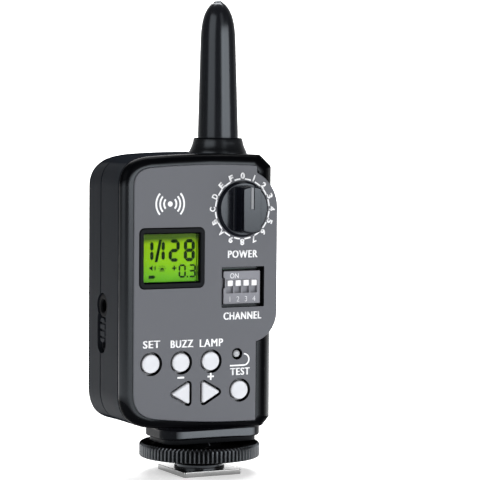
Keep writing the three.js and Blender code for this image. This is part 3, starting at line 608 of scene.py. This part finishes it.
door = slab("battery_door_fine", BODY, [(0, RY1 - 6), (0, RY1 - R_BACK)] + back_arc)
boolean(door, [block("t", door_lo[0] + 0.02, door_hi[0] - 0.02, door_lo[1], RY1 + 1, RZ0 - 3, door_hi[2])],
    "INTERSECT")
mid_x = (door_lo[0] + door_hi[0]) / 2
boolean(door, [block("t", mid_x - 5.5 + 0.5 * i, mid_x + 5.5 - 0.5 * i, RY1 - 0.4, RY1 + 1, 57.0 - 1.6 * i,
    57.8 - 1.6 * i) for i in range(5)])
soften(door, 0.15)
finish_piece(door, M["shell"], "battery_door", ["battery_door"])

for i, (x, z) in enumerate(SCREWS, 1):
    lo, hi = box("case_screw_%d" % i)
    top = hi[1]
    profile = raised(top, [(0.85, -1.0), (1.7, -1.0), (1.7, -0.42), (1.62, -0.25), (1.4, -0.08), (1.1, 0),
        (0, 0)])
    s = lathe("case_screw_%d_fine" % i, [(0, lo[1]), (0.85, lo[1])] + profile, (x, 0, z), "y", 40)
    boolean(s, [block("t", x - 1.1, x + 1.1, top - 0.55, top + 1, z - 0.2, z + 0.2),
        block("t", x - 0.2, x + 0.2, top - 0.55, top + 1, z - 1.1, z + 1.1)])
    finish_piece(s, M["steel"], "housing", ["case_screw_%d" % i])

# ---- antenna
col_lo, col_hi = box("antenna_collar")
c0, c1 = col_lo[2], col_hi[2]
profile = raised(c0, [(2.2, 0), (8.45, 0), (8.40, 0.2), (8.02, 0.75), (7.72, 1.35), (7.48, 2.0),
    (7.30, 2.7), (7.14, 3.4), (7.08, 3.66), (6.95, 3.86)])
profile += raised(c1, [(6.72, -0.03), (6.4, 0), (6.05, 0), (5.96, -0.1), (5.94, -0.45), (2.2, -0.45)])
collar = lathe("antenna_collar_fine", profile, (AX, AY, 0), "z", 128, closed=True)

def body_top(x):
    """Height of the housing's outline above x."""
    best = BOTTOM
    for (xa, za), (xb, zb) in zip(BODY, BODY[1:] + BODY[:1]):
        if min(xa, xb) <= x <= max(xa, xb) and abs(xb - xa) > 1e-6:
            best = max(best, za + (zb - za) * (x - xa) / (xb - xa))
    return best

for v in collar.data.vertices:
    x, z = v.co.x * 1000, v.co.z * 1000
    v.co.z += max(0.0, 1 - (z - c0) / 0.9) * (body_top(x) + 0.01 - c0) / 1000
finish_piece(collar, M["collar"], "housing", ["antenna_collar"], 40)
base, top = ant_lo[2], ant_hi[2]
prof = raised(base, [(2.0, -0.7), (5.6, -0.7), (5.78, -0.6), (5.86, 0.3)])
TAPER_R, TAPER_Z = 5.10, 123.5
prof += [(5.86 - (5.86 - TAPER_R) * t, base + 0.3 + (TAPER_Z - base - 0.3) * t)
    for t in (0.25, 0.5, 0.75, 1.0)]
tip = bezier([(TAPER_R, TAPER_Z), (4.95, 129.4), (4.3, 132.6), (1.95, top - 0.95)],
    22)[1:] + [(1.95, top - 0.95)]
prof += tip + raised(top, [(1.62, -0.78), (1.45, -0.6), (1.25, -0.38), (0.95, -0.15), (0.5, -0.02), (0, 0)])
sleeve = lathe("antenna_sleeve_fine", prof + [(0.01, 131.0), (2.0, 131.0)], (AX, AY, 0), "z", 128,
    closed=True)
for v in sleeve.data.vertices:
    v.co.x -= 0.00025 * max(0.0, (v.co.z * 1000 - base) / (top - base))
finish_piece(sleeve, M["antenna"], "housing", ["antenna_sleeve"], 40)

# ---- pedestal, stud, ring, washer, foot
ped_lo, ped_hi = box("shoe_pedestal")
PX, PW, PD, PR = 0.95, 31.5, 18.2, 4.9
z0 = ped_lo[2] + 1.45
ped_left, ped_flat = PX - PW / 2, PX - PW / 2 + PR
PED = [(x if x > ped_flat + 0.01 else ped_left + (x - ped_left) * (PR + 2.0) / PR, y) for x,
    y in rounded(PX, 0, PW, PD, PR, 14)]
ped = tower("shoe_pedestal_fine", PED, raised(z0, [(0.75, 0), (0.35, 0.08), (0.1, 0.3), (0, 0.65), (0, 2.4),
    (-0.12, 2.75), (-0.42, 3.1), (-0.85, 3.45), (-1.15, 3.9), (-1.3, 4.5), (-1.3, 8)]))
boolean(ped, [slab("t", inset(BODY, -0.12), [(0, -40), (0, 40)]), block("t", -40, 40, ped_hi[1], 40, 0, 40),
    stud_hole(6.45, 5, 20)])
soften(ped, 0.12)
finish_piece(ped, M["pedestal"], "housing", ["shoe_pedestal"])
step = tower("shoe_pedestal_step", PED, raised(ped_lo[2], [(1.55, 0), (1.34, 0.08), (1.25, 0.28)])
    + [(1.25, z0 - 0.02)])
boolean(step, [stud_hole(6.45, 5, 20)])
finish_piece(step, M["frame"], "housing")

STUD_Z0, STUD_Z1, STUD_R, STUD_BORE, THREAD_DEPTH, PITCH_MM = box("shoe_stud")[0][
    2], 16.4, 6.2, 1.9, 0.55, 1.25
steps = int((STUD_Z1 - STUD_Z0) / PITCH_MM * 10)

def ring_of(radius, z, n=96):
    angles = [2 * math.pi * k / n for k in range(n)]
    return [(radius(a) * math.cos(a), radius(a) * math.sin(a), z) for a in angles]

def thread(z):
    def radius(a):
        ph = (z / PITCH_MM - a / (2 * math.pi)) % 1.0
        ends = min(1, max(0, (z - STUD_Z0) / 0.5), max(0, (STUD_Z1 - z) / 0.5))
        return STUD_R - THREAD_DEPTH * abs(2 * ph - 1) * ends - (0.35 * (1 - min(1, (z - STUD_Z0) / 0.3)))
    return radius

rings = [ring_of(lambda a: STUD_BORE, STUD_Z0)]
for j in range(steps + 1):
    z = STUD_Z0 + (STUD_Z1 - STUD_Z0) * j / steps
    rings.append(ring_of(thread(z), z))
for r, z in ((8.3, 16.6), (8.4, 16.7), (8.4, 17.3), (8.3, 17.4), (STUD_BORE, 17.4)):
    rings.append(ring_of(lambda a, r=r: r, z))
stud = loft("shoe_stud_fine", rings, closed=True)
finish_piece(stud, M["ring"], "housing", ["shoe_stud"])

ring_lo, ring_hi = box("lock_ring")
RR, T = ring_hi[0], 84
z0, z1 = ring_lo[2], ring_hi[2]
n = T * 8
def knurl(r, depth):
    out = []
    for k in range(n):
        ph = (k % 8) / 8.0
        groove = max(0.0, 1 - abs(ph - 0.5) / 0.30)
        rr = r - depth * min(1.0, groove * 1.25)
        a = 2 * math.pi * k / n
        out.append((rr * math.cos(a), rr * math.sin(a)))
    return out
stack = raised(z0, [(6.28, 0, 0.25), (6.5, 0, 0), (16.4, 0, 0), (16.9, 0.1, 0.05), (17.2, 0.5, 0.14),
    (17.36, 0.72, 0.26), (RR, 0.8, 0.45)])
stack += raised(z1, [(RR, 0.8, -0.75), (17.3, 0.68, -0.4), (17.05, 0.4, -0.14), (16.75, 0.1, -0.02),
    (16.5, 0, 0), (15.0, 0, 0), (14.8, 0, -0.06), (14.7, 0, -0.22)])
stack += [(14.7, 0, 6.95), (14.65, 0, 6.9), (6.5, 0, 6.9), (6.28, 0, 6.65)]
ring = loft("lock_ring_fine", [[(x, y, z) for x, y in knurl(r, d)] for r, d, z in stack], closed=True)
finish_piece(ring, M["ring"], "ring", ["lock_ring"], 28)

w_lo, w_hi = box("clamp_washer")
profile = raised(w_lo[2], [(6.3, 0.1), (6.4, 0), (14.2, 0), (14.3, 0.1), (14.3, 0.5), (14.2, 0.75)])
profile += raised(w_hi[2], [(13.9, 0), (12.6, 0), (12.4, -0.2), (11.4, -0.2), (11.2, 0), (6.4, 0),
    (6.3, -0.1)])
washer = lathe("clamp_washer_fine", profile, (0, 0, 0), "z", 96, closed=True)
finish_piece(washer, M["ring"], "clamp", ["clamp_washer"])

foot_lo, foot_hi = box("shoe_foot")
FW, FD, FT = foot_hi[0] - foot_lo[0], foot_hi[1] - foot_lo[1], 1.6
foot = tower("shoe_foot_fine", rounded(0, 0, FW, FD, 0.8), [(0.22, 0), (0.06, 0.06), (0, 0.22),
    (0, FT - 0.2), (0.06, FT - 0.05), (0.22, FT)])
boolean(foot, [stud_hole(1.9, -1, 5, 40)])
profile = raised(FT, [(1.9, 0.01), (7.3, 0.01), (7.3, 0.35), (7.1, 0.5)])
profile += raised(foot_hi[2], [(7.1, -0.25), (6.9, -0.05), (6.7, 0), (1.9, 0)])
neck = lathe("shoe_foot_neck", profile, (0, 0, 0), "z", 96, closed=True)
finish_piece(neck, M["ring"], "housing")
finish_piece(foot, M["foot"], "housing", ["shoe_foot"])

# ---- dial
k_lo, k_hi = box("dial_knob")
KR, K_HIGH, K_LOW = (k_hi[0] - k_lo[0]) / 2, k_lo[1], -14.6
profile = raised(K_LOW, [(0, 0), (7.2, 0), (7.36, 0.05), (7.48, 0.17), (7.86, 0.62), (7.96, 0.74),
    (KR, 0.84)])
profile += [(KR, PY0 - 0.22), (3.0, PY0 - 0.22), (3.0, k_hi[1]), (0, k_hi[1])]
disc = lathe("dial_knob_fine", profile, (DIAL[0], 0, DIAL[1]), "y", 128)
profile = raised(K_HIGH, [(0, 0), (6.1, 0), (6.42, 0.1), (6.64, 0.32), (6.76, 0.7), (6.8, 1.1)])
grip_core = lathe("t", profile + raised(K_LOW, [(6.8, 0.4), (0, 0.4)]), (DIAL[0], 0, DIAL[1]), "y", 128)
profile = raised(K_HIGH, [(0.22, 0), (0.10, 0.03), (0.03, 0.1), (0, 0.24)])
profile += raised(K_LOW, [(0, -0.75), (-0.10, -0.40), (-0.32, -0.12), (-0.62, 0), (-0.7, 0.3)])
bar = slab("t", rounded(DIAL[0], DIAL[1], 5.5, 17.0, 0.7, 8), profile)
boolean(grip_core, [bar], "INTERSECT")
boolean(disc, [grip_core], "UNION")
groove = rectangle(DIAL[0] - 0.62, DIAL[0] + 0.62, DIAL[1], DIAL[1] + 9)
boolean(disc, [slab("t", groove, [(0, K_HIGH - 1), (0, K_HIGH + 0.25)])])
finish_piece(disc, M["knob"], "dial", ["dial_knob"], 34)
pointer = slab("dial_pointer", rectangle(DIAL[0] - 0.42, DIAL[0] + 0.42, DIAL[1] + 0.2, DIAL[1] + 6.2),
    [(0.05, K_HIGH + 0.1), (0, K_HIGH + 0.14), (0, K_HIGH + 0.24)])
finish_piece(pointer, M["pointer"], "dial")

# ---- display
IW, IH = 17.2, 13.7
rings = [(lw - d, lh - d, r, y) for d, r, y in ((0, 1.5, LY1), (0, 1.5, LY0 + 0.42),
    (0.1, 1.46, LY0 + 0.22), (0.36, 1.34, LY0 + 0.06), (0.8, 1.2, LY0))]
rings += [(IW + d, IH + d, r, y) for d, r, y in ((1.1, 0.75, LY0), (0.55, 0.5, LY0 + 0.08),
    (0.2, 0.35, LY0 + 0.35), (0, 0.3, LY0 + 0.8), (0, 0.3, LY1))]
rings = [[(x, y, z) for x, z in rounded(lcx, lcz, w, h, r, 10)] for w, h, r, y in rings]
lcd = loft("lcd_frame_fine", rings, closed=True)
finish_piece(lcd, M["frame"], "housing", ["lcd_frame"])
g_lo, g_hi = box("lcd_glass")
pane = slab("lcd_glass_fine", rounded(lcx, lcz, g_hi[0] - g_lo[0], g_hi[2] - g_lo[2], 0.3, 4),
    [(0.05, g_lo[1]), (0, g_lo[1] + 0.05), (0, g_hi[1] - 0.05), (0.05, g_hi[1])])
finish_piece(pane, M["glass"], "housing", ["lcd_glass"])
b_lo, b_hi = box("lcd_backlight")
light_box = slab("lcd_backlight_fine", rounded(lcx, lcz, b_hi[0] - b_lo[0], b_hi[2] - b_lo[2], 0.3, 4),
    [(0.05, b_lo[1]), (0, b_lo[1] + 0.05), (0, b_hi[1])])
finish_piece(light_box, M["backlight"], "housing", ["lcd_backlight"])

SEG = {"0": "abcdef", "1": "bc", "2": "abged", "3": "abgcd", "8": "abcdefg"}
def segment_shapes(ch, x, z, w, h, t):
    """Seven-segment bars with pointed ends; (x, z) is the lower left corner. Returns closed polygons."""
    g = 0.10
    def bar_h(cx, cz, length):
        a = length / 2
        return [(cx - a, cz), (cx - a + t / 2, cz + t / 2), (cx + a - t / 2, cz + t / 2), (cx + a, cz),
            (cx + a - t / 2, cz - t / 2), (cx - a + t / 2, cz - t / 2)]
    def bar_v(cx, cz, length):
        a = length / 2
        return [(cx, cz - a), (cx + t / 2, cz - a + t / 2), (cx + t / 2, cz + a - t / 2), (cx, cz + a),
            (cx - t / 2, cz + a - t / 2), (cx - t / 2, cz - a + t / 2)]
    l, r, bo, to, mi = x + t / 2, x + w - t / 2, z + t / 2, z + h - t / 2, z + h / 2
    up, low = (mi + to) / 2, (mi + bo) / 2
    spec = {k: bar_h((l + r) / 2, v, w - t - g) for k, v in (("a", to), ("g", mi), ("d", bo))}
    for k, u, v in (("f", l, up), ("b", r, up), ("e", l, low), ("c", r, low)):
        spec[k] = bar_v(u, v, h / 2 - t / 2 - g)
    return [spec[s] for s in SEG[ch]]

def decal(name, polygons, y, thick, mat, body):
    """Flat shapes in X and Z, each a closed solid of its own, joined in one piece."""
    verts, faces = [], []
    for poly in polygons:
        k, m = len(verts), len(poly)
        if signed_area(poly) < 0:
            poly = poly[::-1]
        verts += [(x, y, z) for x, z in poly] + [(x, y + thick, z) for x, z in poly]
        faces.append(tuple(k + i for i in range(m)))
        faces.append(tuple(k + 2 * m - 1 - i for i in range(m)))
        faces += [(k + i, k + m + i, k + m + (i + 1) % m, k + (i + 1) % m) for i in range(m)]
    ob = mesh_object(name, verts, faces)
    bm = bmesh.new(); bm.from_mesh(ob.data)
    bmesh.ops.recalc_face_normals(bm, faces=bm.faces)
    bm.to_mesh(ob.data); bm.free()
    ob.data.materials.append(mat)
    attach(ob, body)
    return ob

shapes = []
X0, Z0 = b_lo[0] + 1.0, b_lo[2]
dz, dh, dt = Z0 + 5.55, 6.3, 1.0
for ch, x, w in (("1", X0 + 3.6, 2.4), ("2", X0 + 7.2, 3.4), ("8", X0 + 11.9, 3.4)):
    shapes += segment_shapes(ch, x, dz, w, dh, dt)
shapes += segment_shapes("1", X0 + 0.2, dz, 2.3, dh, dt)
shapes.append(moved(X0, dz, [(2.9, 0), (3.75, 0), (5.1, dh), (4.25, dh)]))
shapes += segment_shapes("0", X0 + 10.3, Z0 + 1.0, 2.25, 3.75, 0.52)
shapes.append(rounded(X0 + 13.05, Z0 + 1.25, 0.45, 0.45, 0.1, 2))
shapes += segment_shapes("3", X0 + 13.4, Z0 + 1.0, 2.25, 3.75, 0.52)
shapes.append(plus_sign(X0 + 8.95, Z0 + 3.75, 0.65, 0.2))
# sound icon: a small horn with two short waves
hx, hz = X0 + 1.3, Z0 + 3.9
shapes.append(moved(hx, hz, [(0, -0.3), (0.4, -0.3), (0.95, -0.8), (0.95, 0.8), (0.4, 0.3), (0, 0.3)]))
for r in (0.55, 0.95):
    shapes.append(band(hx + 0.95, hz, r + 0.1, r - 0.1, -0.7, 0.7, 8))
# lamp icon: a half disc with rays
ix, iz = X0 + 5.2, Z0 + 3.35
shapes.append(arc(ix, iz, 0.62, 0, math.pi, 12))
shapes.append(rounded(ix, iz - 0.28, 1.7, 0.24, 0.1, 2))
for a in (0.35, 0.95, 1.57, 2.19, 2.79):
    c, s = math.cos(a), math.sin(a)
    ray = ((0.85, 0.09), (1.3, 0.09), (1.3, -0.09), (0.85, -0.09))
    shapes.append([(ix + d * c - q * s, iz + d * s + q * c) for d, q in ray])
# battery icon
shapes.append(moved(X0 + 2.0, Z0 + 1.4, [(-0.9, -0.45), (0.8, -0.45), (0.8, -0.2), (1.05, -0.2),
    (1.05, 0.2), (0.8, 0.2), (0.8, 0.45), (-0.9, 0.45)]))
decal("lcd_segments", shapes, b_lo[1] - 0.06, 0.05, M["segment"], "housing")

# ---- channel switch
dip = slab("dip_body_fine", rounded(dcx, dcz - 0.17, DX1 - DX0, DZ1 - DZ0 - 0.35, 0.2, 3),
    [(0.1, DY0), (0, DY0 + 0.1), (0, DY1)])
slot_x = [centre("dip_slider_%d" % i)[0] for i in range(1, 5)]
SLOT_HALF, SLOT_Z, SLOT_RUN, SLIDER_W = 1.08, 54.6, 1.9, 1.66
tools = [block("t", x - SLOT_HALF, x + SLOT_HALF, DY0 - 1, DY0 + 1.0, SLOT_Z - SLOT_RUN, SLOT_Z + SLOT_RUN)
    for x in slot_x]
tools.append(block("t", DX0 - 1, DX0 + 0.5, DY0 - 1, DY0 + 1.2, dcz - 0.4, dcz + 2.6))
boolean(dip, tools)
soften(dip, 0.06)
finish_piece(dip, M["dip"], "housing", ["dip_body"])
for i in range(1, 5):
    lo, hi = box("dip_slider_%d" % i)
    cx, _, cz = centre("dip_slider_%d" % i)
    s = slab("dip_slider_%d_fine" % i, rounded(cx, cz, SLIDER_W, hi[2] - lo[2], 0.12, 3),
        [(0.12, lo[1]), (0.03, lo[1] + 0.04), (0, lo[1] + 0.14), (0, DY0 + 0.94)])
    finish_piece(s, M["slider"], "dip_slider_%d" % i, ["dip_slider_%d" % i])

# ---- buttons and light
BUTTON_R, DOME_BEND, DOME_H = 2.62, 1.25, 0.30
for name, (x, z) in BUTTONS.items():
    lo, hi = box("button_" + name)
    y, r = lo[1], BUTTON_R
    bend = [DOME_BEND * k / 8 for k in range(1, 9)]
    dome = [(r * math.sin(t), y + DOME_H * (1 - math.cos(t)) / (1 - math.cos(DOME_BEND))) for t in bend]
    edge = [(r - 0.06, y + 0.42), (r, y + 0.6)]
    s = lathe("button_%s_fine" % name, [(0, y)] + dome + edge + [(r, hi[1] - 1.1), (r + 1.0, hi[1] - 1.1),
        (r + 1.0, hi[1] - 0.5), (1.2, hi[1] - 0.5), (1.2, hi[1]), (0, hi[1])], (x, 0, z), "y", 80)
    finish_piece(s, M["button"], "button_" + name, ["button_" + name], 50)
for name, (x, side) in ARROWS.items():
    lo, hi = box("button_" + name)
    y = lo[1]
    shape = triangle(x, ARROW_Z, ARROW_W, ARROW_H, 0.7, side, 10)
    s = slab("button_%s_fine" % name, shape, [(0.9, y), (0.5, y + 0.05), (0.2, y + 0.18), (0.05, y + 0.38),
        (0, y + 0.6), (0, hi[1] - 1.1), (-0.8, hi[1] - 1.1), (-0.8, hi[1] - 0.5)])
    finish_piece(s, M["button"], "button_" + name, ["button_" + name], 50)
y = led_lo[1]
led = lathe("status_led_fine", [(0, y), (LED_R * 0.4, y + 0.04), (LED_R * 0.7, y + 0.16),
    (LED_R * 0.92, y + 0.36), (LED_R, y + 0.6), (LED_R, led_hi[1]), (0, led_hi[1])], (LED[0], 0, LED[1]),
    "y", 48)
finish_piece(led, M["led"], "housing", ["status_led"], 50)

# ---- left side
plate = side_slab("side_plate_fine", rounded(SY, SZC, SIDE_W - 0.3, SIDE_Z1 - SIDE_Z0 - 0.3,
    (SIDE_W - 0.3) / 2 - 0.01, 12), LEFT + 1.3, LEFT + 2.6)
boolean(plate, [block("t", LEFT + 2.4, plate_hi[0], plate_lo[1], plate_hi[1], plate_lo[2] + 0.4,
    plate_hi[2])], "UNION")
s_lo, s_hi = box("power_slider")
boolean(plate, [block("t", LEFT, LEFT + 8, SY - 6, SY + 6, plate_hi[2], SIDE_Z1 + 1),
    block("t", LEFT, LEFT + 3.4, s_lo[1] - 0.25, s_hi[1] + 0.25, s_lo[2] - 1.8, SIDE_Z1)])
finish_piece(plate, M["recess"], "housing", ["side_plate"])
_, yc, zc = centre("power_slider")
knob = side_slab("power_slider_fine", rounded(yc, zc, s_hi[1] - s_lo[1], s_hi[2] - s_lo[2], 1.3, 8),
    s_lo[0], s_hi[0])
boolean(knob, [block("t", LEFT - 1, LEFT + 0.7, s_lo[1] - 1, s_hi[1] + 1, zc + d - 0.3, zc + d + 0.3)
    for d in (-2.0, 0, 2.0)])
soften(knob, 0.14)
finish_piece(knob, M["shell"], "power_slider", ["power_slider"])
jr = 3.3
jack = lathe("sync_jack_fine", [(1.8, LEFT + 9.2), (1.8, LEFT + 0.75), (2.1, LEFT + 0.38),
    (2.4, LEFT + 0.3), (jr - 0.35, LEFT + 0.3), (jr - 0.08, LEFT + 0.4), (jr, LEFT + 0.65),
    (jr, LEFT + 2.9)], (0, JY, JZ), "x", 64)
boolean(jack, [block("t", LEFT + 2.6, jack_hi[0], jack_lo[1] + 0.1, jack_hi[1] - 0.1, jack_lo[2] + 0.1,
    jack_hi[2] - 0.1)], "UNION")
boolean(jack, [lathe("t", [(1.8, LEFT - 1), (1.8, LEFT + 9.2)], (0, JY, JZ), "x", 48)])
finish_piece(jack, M["jack"], "housing", ["sync_jack"])

# ---- print on the panel
def text_piece(name, body_text, x, z, height, y, mat, width=None, bold=0.0, angle=0.0, thick=0.03,
        spacing=1.0, twin=0.0):
    """Text centred at (x, z), reading from -Y. twin thickens it with copies set that far to either side."""
    cu = bpy.data.curves.new(name, "FONT")
    cu.body, cu.align_x, cu.align_y = body_text, "CENTER", "CENTER"
    cu.size, cu.offset, cu.extrude, cu.resolution_u = 1.0, bold, 0.0, 4
    cu.space_character = spacing
    ob = bpy.data.objects.new(name, cu)
    scene.collection.objects.link(ob)
    dg = bpy.context.evaluated_depsgraph_get()
    me = bpy.data.meshes.new_from_object(ob.evaluated_get(dg))
    bpy.data.objects.remove(ob)
    bpy.data.curves.remove(cu)
    xs, ys = [v.co.x for v in me.vertices], [v.co.y for v in me.vertices]
    cx, cy, w, h = (min(xs) + max(xs)) / 2, (min(ys) + max(ys)) / 2, max(xs) - min(xs), max(ys) - min(ys)
    sy = height / h
    sx = (width / w) if width else sy
    ca, sa = math.cos(angle), math.sin(angle)
    for v in me.vertices:
        u, t = (v.co.x - cx) * sx, (v.co.y - cy) * sy
        v.co = Vector(((x + u * ca - t * sa) / 1000, y / 1000, (z + u * sa + t * ca) / 1000))
    bm = bmesh.new(); bm.from_mesh(me)
    bmesh.ops.remove_doubles(bm, verts=bm.verts, dist=1e-8)
    if twin:
        plain = bm.verts[:] + bm.edges[:] + bm.faces[:]
        for k, shift in enumerate((-twin, twin), 1):
            for g in bmesh.ops.duplicate(bm, geom=plain)["geom"]:
                if isinstance(g, bmesh.types.BMVert):
                    g.co += Vector((shift, -0.004 * k, 0)) / 1000
    ext = bmesh.ops.extrude_face_region(bm, geom=bm.faces[:])
    for g in ext["geom"]:
        if isinstance(g, bmesh.types.BMVert):
            g.co.y += thick / 1000
    bmesh.ops.recalc_face_normals(bm, faces=bm.faces)
    bm.to_mesh(me); bm.free()
    out = bpy.data.objects.new(name, me)
    scene.collection.objects.link(out)
    me.materials.clear()
    me.materials.append(mat)
    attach(out, "housing")
    return out

INK_Y = PY0 - 0.02
LABELS = [("POWER", 6.8, 63.9, 2.15, 9.3, 0.010), ("CHANNEL", 6.85, 46.35, 2.15, 11.9, 0.010),
    ("SET", -21.5, 39.2, 2.15, 5.1, 0.010), ("BUZZ", -12.1, 39.0, 2.15, 6.9, 0.010),
    ("LAMP", -2.9, 38.95, 2.15, 7.2, 0.0), ("TEST", 6.2, 30.4, 2.1, 6.1, 0.010)]
for word, x, z, height, width, bold in LABELS:
    text_piece("label_" + word.lower(), word, x, z, height, INK_Y, M["ink"], width, bold, spacing=1.14,
        twin=0.085)
for k, ch in enumerate("0123456789ABCDEF"):
    a = -2 * math.pi * k / 16
    r = 9.4
    text_piece("numeral_%s" % ch, ch, DIAL[0] - r * math.sin(a), DIAL[1] + r * math.cos(a), 1.85, INK_Y,
        M["ink"], None if ch == "1" else 1.35, 0.045, a)
TICK_HALF = 0.115
ticks = []
for k in range(16):
    a0 = 2 * math.pi * (k + 0.5) / 16
    ticks.append(band(DIAL[0], DIAL[1], 8.72, 8.30, a0 - TICK_HALF, a0 + TICK_HALF, 8))
ticks.append(rounded(-12.4, 29.45, 2.1, 0.5, 0.08, 2))
ticks.append(plus_sign(-3.05, 29.35, 1.0, 0.24))
hx0, hz0, hr, ht = 7.4, 33.75, 1.62, 0.21
ticks.append(arc(hx0, hz0, hr + ht, math.pi / 2, -math.pi / 2, 20) + [(3.0, hz0 - hr - ht),
    (3.0, hz0 - hr + ht)] + arc(hx0, hz0, hr - ht, -math.pi / 2, math.pi / 2, 20))
# a generic radio-wave pictogram: a dot with three arcs on either side
wx, wz = -16.0, 78.4
ticks.append(arc(wx, wz, 0.75, 0, 2 * math.pi, 20)[:-1])
for r in (1.9, 3.1, 4.3):
    for mid_a in (0, math.pi):
        ticks.append(band(wx, wz, r + 0.26, r - 0.26, mid_a - 0.75, mid_a + 0.75, 16))
decal("panel_print", ticks, INK_Y, 0.03, M["ink"], "housing")
DIP_INK_Y = DY0 - 0.015
text_piece("switch_on", "ON", 4.7, 57.65, 1.45, DIP_INK_Y, M["dip_ink"], 2.7, 0.0)
for i, x in enumerate(slot_x):
    text_piece("switch_digit_%d" % (i + 1), str(i + 1), x + 0.05, 51.0, 1.5, DIP_INK_Y, M["dip_ink"], None,
        -0.01)

# ---- carried-over CAD nodes
CARRIED = {"board": ["main_board"], "cell": ["cell_1", "cell_2"], "brass": ["antenna_core", "contact_pin"],
    "steel": ["radio_shield", "contact_spring_1", "contact_spring_2", "contact_strip"],
    "insulator": ["buzzer", "battery_tray", "rotary_switch", "contact_sleeve"]
    + ["tact_switch_" + name for name in (*BUTTONS, *ARROWS)]}
for key, names in CARRIED.items():
    for node in names:
        ob = bpy.data.objects.get(node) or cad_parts[node]
        for s in ob.material_slots:
            s.material = M[key]

# ---- floor and light
def stage_material():
    """White paper round the object and behind it; the grey fall-off at the far sides of the sweep is
    painted shade, and the paper's glow is painted light.
    """
    m, nt, b = new_material("stage_white")
    tc = add_node(nt, "TexCoord").outputs["Object"]
    mp = add_node(nt, "Mapping", [("Rotation", (0, 0, YAW))], [("Vector", tc)])
    sep = add_node(nt, "SeparateXYZ", (), [("Vector", mp.outputs["Vector"])])

    def math_node(op, a, b_):
        n = nt.nodes.new("ShaderNodeMath")
        n.operation = op
        for k, v in enumerate((a, b_)):
            if v is None:
                continue
            if isinstance(v, (int, float)):
                n.inputs[k].default_value = v
            else:
                nt.links.new(v, n.inputs[k])
        return n.outputs[0]

    def fade(v, full, none):
        n = add_node(nt, "MapRange", [("From Min", none), ("From Max", full)], [("Value", v)])
        n.interpolation_type = "SMOOTHSTEP"
        return n.outputs["Result"]

    side = math_node("ABSOLUTE", sep.outputs["X"], None)
    spread = math_node("SUBTRACT", side, math_node("MULTIPLY", sep.outputs["Y"], 0.13))
    painted_light_falloff = math_node("MULTIPLY", fade(spread, 0.16, 0.50), fade(sep.outputs["Y"], -0.10, -0.42))
    painted_light_falloff = math_node("MULTIPLY", painted_light_falloff, fade(sep.outputs["Z"], 0.35, 0.9))
    noise = add_node(nt, "TexNoise", [("Scale", 4)], [("Vector", tc)])
    grained = math_node("ADD", math_node("MULTIPLY", painted_light_falloff, 0.96), math_node("MULTIPLY",
        noise.outputs["Fac"], 0.04))
    ramp = nt.nodes.new("ShaderNodeValToRGB")
    ramp.color_ramp.elements[0].color, ramp.color_ramp.elements[1].color = (0.30, 0.30, 0.305, 1), (0.95,
        0.95, 0.95, 1)
    nt.links.new(grained, ramp.inputs["Fac"])
    nt.links.new(ramp.outputs["Color"], b.inputs["Base Color"])
    # painted light: the paper glows in its own colour
    nt.links.new(ramp.outputs["Color"], b.inputs["Emission Color"])
    b.inputs["Emission Strength"].default_value = 0.50
    b.inputs["Roughness"].default_value = 0.9
    b.inputs["Specular IOR Level"].default_value = 0.1
    return m

FLAT, BEND_R = 0.9, 0.8
bend = [math.pi / 2 * k / 12 for k in range(1, 13)]
curve = [(-3.0, 0.0), (FLAT, 0.0)]
curve += [(FLAT + BEND_R * math.sin(a), BEND_R - BEND_R * math.cos(a)) for a in bend] + [(1.7, 3.0)]
rows = []
ux, uy = math.sin(YAW), math.cos(YAW)
for d, z in curve:
    rows.append([(1000 * (d * ux - s * uy), 1000 * (d * uy + s * ux), 1000 * z - 0.02)
        for s in (-3.0, 3.0)])
verts = [p for r in rows for p in r]
faces = [(2 * k, 2 * k + 1, 2 * k + 3, 2 * k + 2) for k in range(len(rows) - 1)]
stage = mesh_object("stage", verts, faces)
for p in stage.data.polygons:
    p.use_smooth = True
stage.data.materials.append(stage_material())

world = bpy.data.worlds.new("world")
scene.world = world
world.use_nodes = True
bg = world.node_tree.nodes["Background"]
bg.inputs["Color"].default_value = (1, 1, 1, 1)
bg.inputs["Strength"].default_value = 0.16

def area(name, loc, target, size, power, size_y=None):
    d = bpy.data.lights.new(name, "AREA")
    d.energy, d.size = power, size
    if size_y:
        d.shape, d.size_y = "RECTANGLE", size_y
    ob = bpy.data.objects.new(name, d)
    scene.collection.objects.link(ob)
    v = Vector(target) - Vector(loc)
    ob.matrix_world = Matrix.Translation(loc) @ v.to_track_quat("-Z", "Y").to_matrix().to_4x4()

area("key_left", (-0.80, -0.35, 0.40), (0, 0, 0.06), 0.75, 3.1, 0.75)
area("front_strip", (0.10, -1.0, 0.55), (0, 0, 0.06), 0.35, 0.7, 0.9)
area("low_right", (0.35, -0.87, 0.20), (0, 0, 0.07), 0.92, 4.6, 0.36)
area("floor_wash", (0.25, 0.95, 1.0), (0.12, 0.25, 0.0), 0.7, 9.0)
area("backdrop_wash", (0.3, 0.5, 1.6), (0.7, 1.6, 0.3), 1.2, 40.0)
